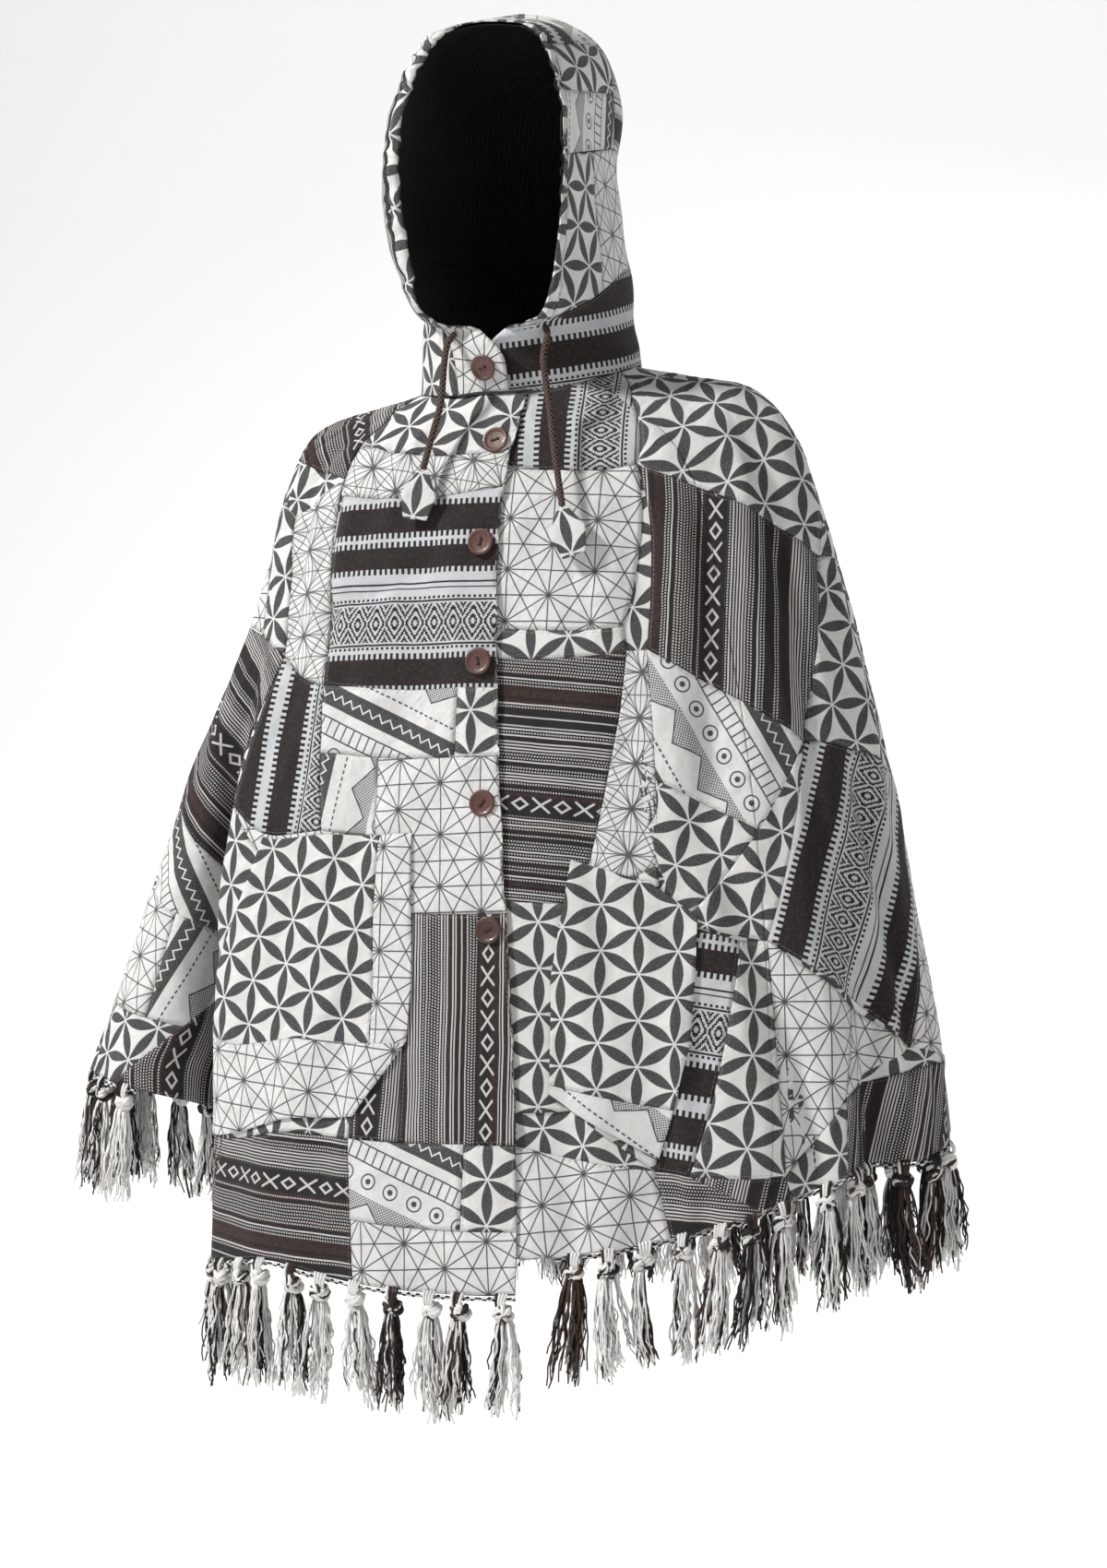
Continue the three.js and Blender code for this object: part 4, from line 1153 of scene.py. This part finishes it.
class PONCHO_OT_stage(bpy.types.Operator):
    """The camera, the lights and the pale floor"""

    bl_idname = "poncho.stage"
    bl_label = "Stage"

    def execute(self, context):
        camera = link("camera", bpy.data.cameras.new("camera"))
        camera.data.lens = 80
        camera.data.sensor_width = 36
        out = Vector((math.sin(AZIMUTH), -math.cos(AZIMUTH), 0))
        side = Vector((math.cos(AZIMUTH), math.sin(AZIMUTH), 0))
        camera.location = out * DISTANCE + side * AIM[0] + Vector((0, 0, AIM[1]))
        camera.rotation_euler = (math.pi / 2, 0, AZIMUTH)
        context.scene.camera = camera
        bm = bmesh.new()
        bmesh.ops.create_grid(bm, x_segments=24, y_segments=24, size=6.0)
        for vert in bm.verts:
            vert.co.z = min(5.0, max(0.0, vert.co.y - 2.0) ** 2 * 0.6)
            vert.co.y = min(vert.co.y, 4.0)
        for face in bm.faces:
            face.smooth = True
        paper, _, shader = start_material("floor_paper")
        shader.inputs["Base Color"].default_value = (*context.scene.poncho_trim.backdrop, 1)
        shader.inputs["Roughness"].default_value = 0.9
        shader.inputs["Emission Color"].default_value = (1, 1, 1, 1)
        shader.inputs["Emission Strength"].default_value = 0.26
        floor = link("floor", mesh_from(bm, "floor"), paper)
        floor.location.z = FLOOR
        for name, place, size, power in LAMPS:
            lamp = link("lamp_" + name, bpy.data.lights.new(name, "AREA"))
            lamp.data.size = size
            lamp.data.energy = power
            lamp.location = place
            lamp.rotation_euler = (MIDDLE - lamp.location).to_track_quat("-Z", "Y").to_euler()
        world = bpy.data.worlds.new("studio")
        world.use_nodes = True
        light = world.node_tree.nodes["Background"].inputs
        light["Color"].default_value = (1, 1, 1, 1)
        light["Strength"].default_value = 0.14
        context.scene.world = world
        context.scene.view_settings.view_transform = "Standard"
        return {"FINISHED"}


class PONCHO_OT_cords(bpy.types.Operator):
    """The two drawcords and the cloth tabs at their ends"""

    bl_idname = "poncho.cords"
    bl_label = "Cords"

    def execute(self, context):
        for name, ((side, u, up, depth), rest, tilt) in CORDS.items():
            where = np.array([u]), np.array([up])
            hole = cad_hood(side, *where, -depth)[0]
            bend = cad_hood(side, *where, -depth - CORD_BEND)[0] - 2.0 * UP
            points = smooth_path(np.array([hole, bend, *rest], float), 40) * MM
            curve = bpy.data.curves.new(name, "CURVE")
            curve.dimensions = "3D"
            curve.bevel_depth = CORD_D * MM / 2
            curve.bevel_resolution = 3
            curve.use_fill_caps = True
            spline = curve.splines.new("POLY")
            spline.points.add(len(points) - 1)
            for point, p in zip(spline.points, points):
                point.co = (*p, 1)
            cord = link("draw" + name, curve, shared("cord_braid", cord_material))
            hang(cord, name, slot="cord")
            tab_piece(name.replace("cord", "cord_tab"), rest[-1], tilt)
        return {"FINISHED"}


def smooth_path(points, count):
    """Points along a Catmull-Rom curve whose knots are spaced by the root of each chord."""

    def between(a, b, t0, t1, s):
        return ((t1 - s) * a + (s - t0) * b) / (t1 - t0)

    p = np.array([2 * points[0] - points[1], *points, 2 * points[-1] - points[-2]])
    spans = len(p) - 3
    out = []
    for k in range(spans):
        q = p[k : k + 4]
        steps = np.linalg.norm(np.diff(q, axis=0), axis=1) ** 0.5
        t = np.concatenate([[0.0], np.cumsum(steps)])
        for s in np.linspace(t[1], t[2], max(2, round(count / spans)), endpoint=False):
            a = [between(q[j], q[j + 1], t[j], t[j + 1], s) for j in range(3)]
            b = [between(a[j], a[j + 1], t[j], t[j + 2], s) for j in range(2)]
            out.append(between(*b, t[1], t[2], s))
    return np.array([*out, p[-2]])


def tab_piece(name, end, tilt):
    """A flap of printed cloth at the cord's end, made as one flat thick piece that stands for cloth
    folded round the cord and sewn.
    """
    bm = bmesh.new()
    maps = [bm.loops.layers.uv.new(n) for n in ("cloth", "edge")]
    bm.faces.new([bm.verts.new((x, 0, z)) for x, z in TAB])
    bmesh.ops.subdivide_edges(bm, edges=bm.edges[:], cuts=3, use_grid_fill=True)
    bmesh.ops.triangulate(bm, faces=bm.faces[:])
    bmesh.ops.solidify(bm, geom=bm.faces[:], thickness=TAB_T)
    low = min(v.co.y for v in bm.verts)
    for f in bm.faces:
        f.smooth = False
        for loop in f.loops:
            loop[maps[0]].uv = (loop.vert.co.x * MM, loop.vert.co.z * MM)
            loop[maps[1]].uv = (0.004, 0.004)
    c, s = math.cos(math.radians(tilt)), math.sin(math.radians(tilt))
    for v in bm.verts:
        x, y, z = v.co
        turned_to = (x * c + z * s, y - low - TAB_T / 2, z * c - x * s - TAB_CLEAR)
        v.co = [(at + move) * MM for at, move in zip(end, turned_to)]
    cloth = shared("cloth_petal", cloth_material, "petal")
    piece = link("folded_" + name, mesh_from(bm, name), cloth)
    hang(piece, name)
    bevel = piece.modifiers.new("rounded", "BEVEL")
    bevel.width = 0.0008
    bevel.segments = 2
    bevel.limit_method = "ANGLE"
    return piece


class PONCHO_OT_body(bpy.types.Operator):
    """The fronts, sides and back, each pieced from patches"""

    bl_idname = "poncho.body"
    bl_label = "Body"

    def execute(self, context):
        settings = context.scene.poncho_cloth
        for name in PANELS:
            hang(panel_piece(name, settings.pitch, settings.thick), name)
        return {"FINISHED"}


class PONCHO_OT_pockets(bpy.types.Operator):
    """The two patch pockets"""

    bl_idname = "poncho.pockets"
    bl_label = "Pockets"

    def execute(self, context):
        settings = context.scene.poncho_cloth
        for name, (panel, outline, rows) in POCKETS.items():
            cuts = [
                (here, (onward[1] - here[1], here[0] - onward[0]))
                for here, onward in zip(outline, (*outline[1:], outline[0]))
            ]

            def place(angle, down, depth, panel=panel):
                return body_place(panel, angle, down, depth - POCKET_LIFT)

            meshes = [
                patch_mesh(row, place, cuts, settings.pitch, 60 + k) for k, row in enumerate(rows)
            ]
            materials = faced(shared("cloth_reverse", reverse_material))
            pocket = joined("cloth_" + name, meshes, materials, settings.thick)
            hang(pocket, name)
        return {"FINISHED"}


class PONCHO_OT_hood(bpy.types.Operator):
    """The hood's two halves and their black lining"""

    bl_idname = "poncho.hood"
    bl_label = "Hood"

    def execute(self, context):
        settings = context.scene.poncho_cloth
        rib = shared("lining_rib", lining_material)
        for side, name in ((-1, "hood_right"), (1, "hood_left")):

            def patch(row, index, pitch, first, depth, side=side):
                def place(u, up, layer):
                    return hood_place(side, np.maximum(u, first), up, depth + layer)

                mesh = patch_mesh(row, place, (), pitch, index, 1.0)
                if side > 0:
                    mesh.flip_normals()
                return mesh

            rows = enumerate(HOOD_PATCHES[name])
            meshes = [patch(row, 80 + k, settings.pitch * 0.8, 0.0, 0.0) for k, row in rows]
            half = joined("cloth_" + name, meshes, faced(rib), settings.thick)
            hang(half, name)
            inside = name.replace("hood", "hood_lining")
            mesh = patch(LINING_ROW, 90, settings.pitch, 0.05, LINING_DEPTH)
            lining = joined("cloth_" + inside, [mesh], [rib], 0.001)
            hang(lining, inside, slot="lining")
        return {"FINISHED"}


class PONCHO_OT_buttons(bpy.types.Operator):
    """Six coconut buttons with their thread"""

    bl_idname = "poncho.buttons"
    bl_label = "Buttons"

    def execute(self, context):
        size = context.scene.poncho_trim.button
        (u, up), turn, colour = THROAT_BUTTON
        u, up = np.array([u]), np.array([up])
        seats = [(cad_hood(-1, u, up, 0.0)[0], hood_normal(-1, u, up)[0], turn, colour)]
        for down, clear, turn, colour in BUTTONS:
            d = np.array([down])
            angle = front_angle(placket_x(d) - BUTTON_INSET, d)
            out = body_normal(angle, d)
            point = body_point(angle, d) + out * (PLACKET_LIFT + clear)
            seats.append((point[0], out[0], turn, colour))
        for k, (*seat, colour) in enumerate(seats, 1):
            material = button_material(f"coconut_{k}", colour)
            button = button_piece(f"button_{k}", *seat, size, material)
            hang(button, f"button_{k}", slot="coconut")
        return {"FINISHED"}


# A button's section, from its middle to its rim and back: shares of its radius and thickness.
BUTTON_SECTION = (
    (0.0, 0.66), (0.62, 0.66), (0.72, 0.72), (0.80, 0.98), (0.90, 1.0),
    (0.97, 0.86), (1.0, 0.55), (0.97, 0.18), (0.86, 0.0), (0.0, 0.0),
)
BUTTON_T = 0.0032
HOLE_R, HOLE_OFF, HOLE_DEEP = 0.0014, 0.0028, 0.0008
THREAD = (0.0058, 0.0010, 0.0009)


def button_piece(name, point, out, turn, size, material):
    """A dished disc with a rounded rim and two holes, made as black plugs of painted shade, and the
    thread through them.
    """
    bm = bmesh.new()

    def settle(verts, move, slot):
        bmesh.ops.translate(bm, verts=verts, vec=move)
        for face in {face for vert in verts for face in vert.link_faces}:
            face.material_index = slot

    verts = [bm.verts.new((x * size / 2, 0, z * BUTTON_T)) for x, z in BUTTON_SECTION]
    edges = [bm.edges.new(pair) for pair in zip(verts, verts[1:])]
    around = dict(cent=(0, 0, 0), axis=UP, angle=2 * math.pi)
    bmesh.ops.spin(bm, geom=verts + edges, steps=40, **around)
    bmesh.ops.remove_doubles(bm, verts=bm.verts[:], dist=1e-6)
    bmesh.ops.recalc_face_normals(bm, faces=bm.faces[:])
    for face in bm.faces:
        face.smooth = True
    dish = BUTTON_T * 0.66
    # Painted shade: each hole is a solid black plug that stands for the dark inside of the hole.
    for side in (-1, 1):
        hole = dict(segments=14, radius1=HOLE_R, radius2=HOLE_R, depth=HOLE_DEEP)
        made = bmesh.ops.create_cone(bm, cap_ends=True, **hole)
        settle(made["verts"], (side * HOLE_OFF, 0, dish), 1)
    made = bmesh.ops.create_cube(bm, size=1.0)
    bmesh.ops.scale(bm, verts=made["verts"], vec=THREAD)
    settle(made["verts"], (0, 0, dish + 0.0006), 2)
    facing = Vector(UP).rotation_difference(Vector(out)).to_matrix().to_4x4()
    spun = Matrix.Rotation(math.radians(turn), 4, "Z")
    seat = Matrix.Translation(Vector(point) * MM) @ facing @ spun
    bmesh.ops.transform(bm, matrix=seat, verts=bm.verts[:])
    mesh = mesh_from(bm, name)
    return link("coconut_" + name, mesh, material, yarn("black"), yarn("brown"))


class PONCHO_OT_fringe(bpy.types.Operator):
    """The knotted tassels all round the hem"""

    bl_idname = "poncho.fringe"
    bl_label = "Fringe"

    def execute(self, context):
        settings = context.scene.poncho_trim
        for seed, (panel, (low, high, _, (first, last))) in enumerate(PANELS.items()):
            rng = random.Random(100 + seed)
            one = np.array([1.0])
            edge = placket_x(one)
            a0 = sum(low) if low else float(front_angle(edge - UNDERLAP, one)[0])
            a1 = sum(high) if high else float(front_angle(edge, one)[0])
            angles = np.linspace(a0 + (a1 - a0) * first, a0 + (a1 - a0) * last, 400)
            end = hem_share(angles) if panel.endswith("left") else np.ones_like(angles)
            hem = body_place(panel, angles, end, 1.0) - HEM_DROP * UP
            walk = np.linalg.norm(np.diff(hem, axis=0), axis=1)
            walk = np.concatenate([[0], np.cumsum(walk)])
            count = round(walk[-1] / TASSEL_GAP)
            yarns = Yarns()
            for n in range(count):
                want = (n + 0.5 + rng.uniform(-0.14, 0.14)) / count * walk[-1]
                k = int(np.clip(np.searchsorted(walk, want), 3, len(hem) - 4))
                ahead = hem[k + 3] - hem[k - 3]
                ahead /= np.linalg.norm(ahead)
                tassel(yarns, rng, hem[k], ahead, settings.tassel, settings.strands)
            hem_cord(yarns, hem, walk)
            name = "fringe_" + panel
            piece = link("tassels_" + panel, yarns.mesh(name), *(yarn(tone) for tone in YARNS))
            hang(piece, name, slot="yarn")
        return {"FINISHED"}


class Yarns:
    """Yarns gathered into one mesh, each a thin closed tube of one tone."""

    def __init__(self):
        self.verts, self.faces, self.tones, self.count = [], [], [], 0

    def add(self, path, radius, tone, sides=3):
        forward = np.gradient(path, axis=0)
        forward /= np.linalg.norm(forward, axis=1)[:, None] + 1e-12
        a = np.cross(forward, (0.31, 0.83, 0.12))
        a /= np.linalg.norm(a, axis=1)[:, None] + 1e-12
        b = np.cross(forward, a)
        reach = np.reshape(radius, (-1, 1))
        turns = [2 * math.pi * s / sides for s in range(sides)]
        ring = [path + (a * math.cos(g) + b * math.sin(g)) * reach for g in turns]
        self.verts.append(np.stack(ring, 1).reshape(-1, 3))
        base, last = self.count, self.count + (len(path) - 1) * sides
        for k in range(base, last, sides):
            for s in range(sides):
                q = (s + 1) % sides
                self.faces.append((k + s, k + q, k + sides + q, k + sides + s))
        self.faces.append(tuple(range(base + sides - 1, base - 1, -1)))
        self.faces.append(tuple(range(last, last + sides)))
        self.tones += [tone] * (last - base + 2)
        self.count = last + sides

    def mesh(self, name):
        mesh = bpy.data.meshes.new(name)
        mesh.from_pydata(np.concatenate(self.verts).tolist(), [], self.faces)
        mesh.polygons.foreach_set("material_index", np.array(self.tones, dtype=np.int32))
        mesh.polygons.foreach_set("use_smooth", np.ones(len(self.faces), dtype=bool))
        mesh.update()
        return mesh


# Shares of white and of black yarns that a tassel may have; the rest are brown.
MIXES = ((0.84, 0.10), (0.60, 0.26), (0.30, 0.46), (0.76, 0.14), (0.66, 0.18))


def tassel(yarns, rng, root, ahead, length, strands):
    """One tassel: yarns looped through the hem, an overhand knot, and loose ends."""
    out = np.cross(ahead, UP)
    lean = rng.uniform(-0.12, 0.12), rng.uniform(-0.06, 0.08)
    mix = rng.choice(MIXES)
    knot = root - 0.010 * UP + ahead * rng.uniform(-0.002, 0.002)

    def pick():
        r = rng.random()
        return 0 if r < mix[0] else (1 if r < mix[0] + mix[1] else 2)

    def wave(s, low, high, slow, fast):
        """A yarn's bends, which grow towards its end."""
        size = rng.uniform(low, high)
        return size * np.sin(s * rng.uniform(slow, fast) + rng.uniform(0, 6)) * s**0.6

    g = np.linspace(0, 2 * math.pi, 13)
    for _ in range(KNOT_LOOPS):
        tilt = rng.uniform(-1.3, 1.3)
        wide = rng.uniform(0.0055, 0.0088)
        flat = ahead * math.cos(tilt) + UP * math.sin(tilt)
        rise = rng.uniform(-0.0035, 0.0035)
        path = knot + np.outer(np.cos(g) * wide, flat) + np.outer(np.sin(g) * 0.0062, out)
        path = path + np.outer(np.sin(g * 2) * 0.0022 + rise, np.cross(flat, out))
        yarns.add(path, 0.0021, pick(), 5)
    s = np.linspace(0, 1, 6)
    for loop in range(HEM_LOOPS):
        x = (loop - 1.5) * 0.0032
        path = root + np.outer(x * (1 - s / 2), ahead) + np.outer(0.007 - 0.016 * s, UP)
        path = path + np.outer(0.0012 + 0.004 * np.sin(s * math.pi), out)
        yarns.add(path, 0.0017, pick(), 4)
    clumps = []
    for _ in range(CLUMPS):
        turn, spread = rng.uniform(0, 2 * math.pi), rng.uniform(0.1, 1.0)
        clumps.append((turn, spread, pick(), rng.uniform(0.82, 1.06)))
    s = np.linspace(0, 1, 12)
    for k in range(strands):
        turn, spread, tone, share = clumps[k % CLUMPS]
        tone = tone if rng.random() < 0.75 else pick()
        size = length * share * rng.uniform(0.82, 1.08)
        size *= 1.0 if rng.random() < 0.9 else rng.uniform(0.5, 0.8)
        turn += rng.uniform(-0.6, 0.6)
        reach = spread * (0.0075 + 0.0125 * s**0.6) + rng.uniform(-0.003, 0.003) * s
        bends = wave(s, 0.0008, 0.0032, 7, 20)
        sway = wave(s, 0.0008, 0.0030, 6, 18)
        path = knot + np.outer(math.cos(turn) * reach + bends + lean[0] * size * s * s, ahead)
        path = path + np.outer(math.sin(turn) * reach * 0.8 + sway + lean[1] * size * s * 0.5, out)
        path = path + np.outer(-0.005 - size * s, UP)
        yarns.add(path, np.linspace(0.0010, 0.0008, 12), tone)


def hem_cord(yarns, hem, walk):
    """The two yarns sewn along the hem that the tassels hang from."""
    steps = np.linspace(0, walk[-1], max(8, round(walk[-1] / 0.004)))
    line = np.stack([np.interp(steps, walk, hem[:, k]) for k in range(3)], 1)
    for tone, phase in ((0, 0.0), (1, math.pi)):
        rise = 0.0022 + 0.0012 * np.sin(steps * 900 + phase)
        yarns.add(line + np.outer(rise, UP), 0.0012, tone, 4)


class PONCHO_PT_panel(bpy.types.Panel):
    """Lists the pieces that can be made"""

    bl_idname = "PONCHO_PT_panel"
    bl_label = "Patchwork Poncho"
    bl_space_type = "VIEW_3D"
    bl_region_type = "UI"
    bl_category = "Poncho"

    def draw(self, context):
        for kind in OPERATORS:
            self.layout.operator(kind.bl_idname)
        for group in (context.scene.poncho_cloth, context.scene.poncho_trim):
            for name in group.__annotations__:
                self.layout.prop(group, name)


OPERATORS = (
    PONCHO_OT_stage,
    PONCHO_OT_cords,
    PONCHO_OT_body,
    PONCHO_OT_pockets,
    PONCHO_OT_hood,
    PONCHO_OT_buttons,
    PONCHO_OT_fringe,
)
CLASSES = (PonchoCloth, PonchoTrim, *OPERATORS, PONCHO_PT_panel)


def register():
    for kind in CLASSES:
        bpy.utils.register_class(kind)
    bpy.types.Scene.poncho_cloth = bpy.props.PointerProperty(type=PonchoCloth)
    bpy.types.Scene.poncho_trim = bpy.props.PointerProperty(type=PonchoTrim)


def unregister():
    del bpy.types.Scene.poncho_trim
    del bpy.types.Scene.poncho_cloth
    for kind in reversed(CLASSES):
        bpy.utils.unregister_class(kind)


def main():
    register()
    bpy.ops.poncho.stage()
    bpy.ops.poncho.cords()
    bpy.ops.poncho.body()
    bpy.ops.poncho.pockets()
    bpy.ops.poncho.hood()
    bpy.ops.poncho.buttons()
    bpy.ops.poncho.fringe()


if __name__ == "__main__":
    main()
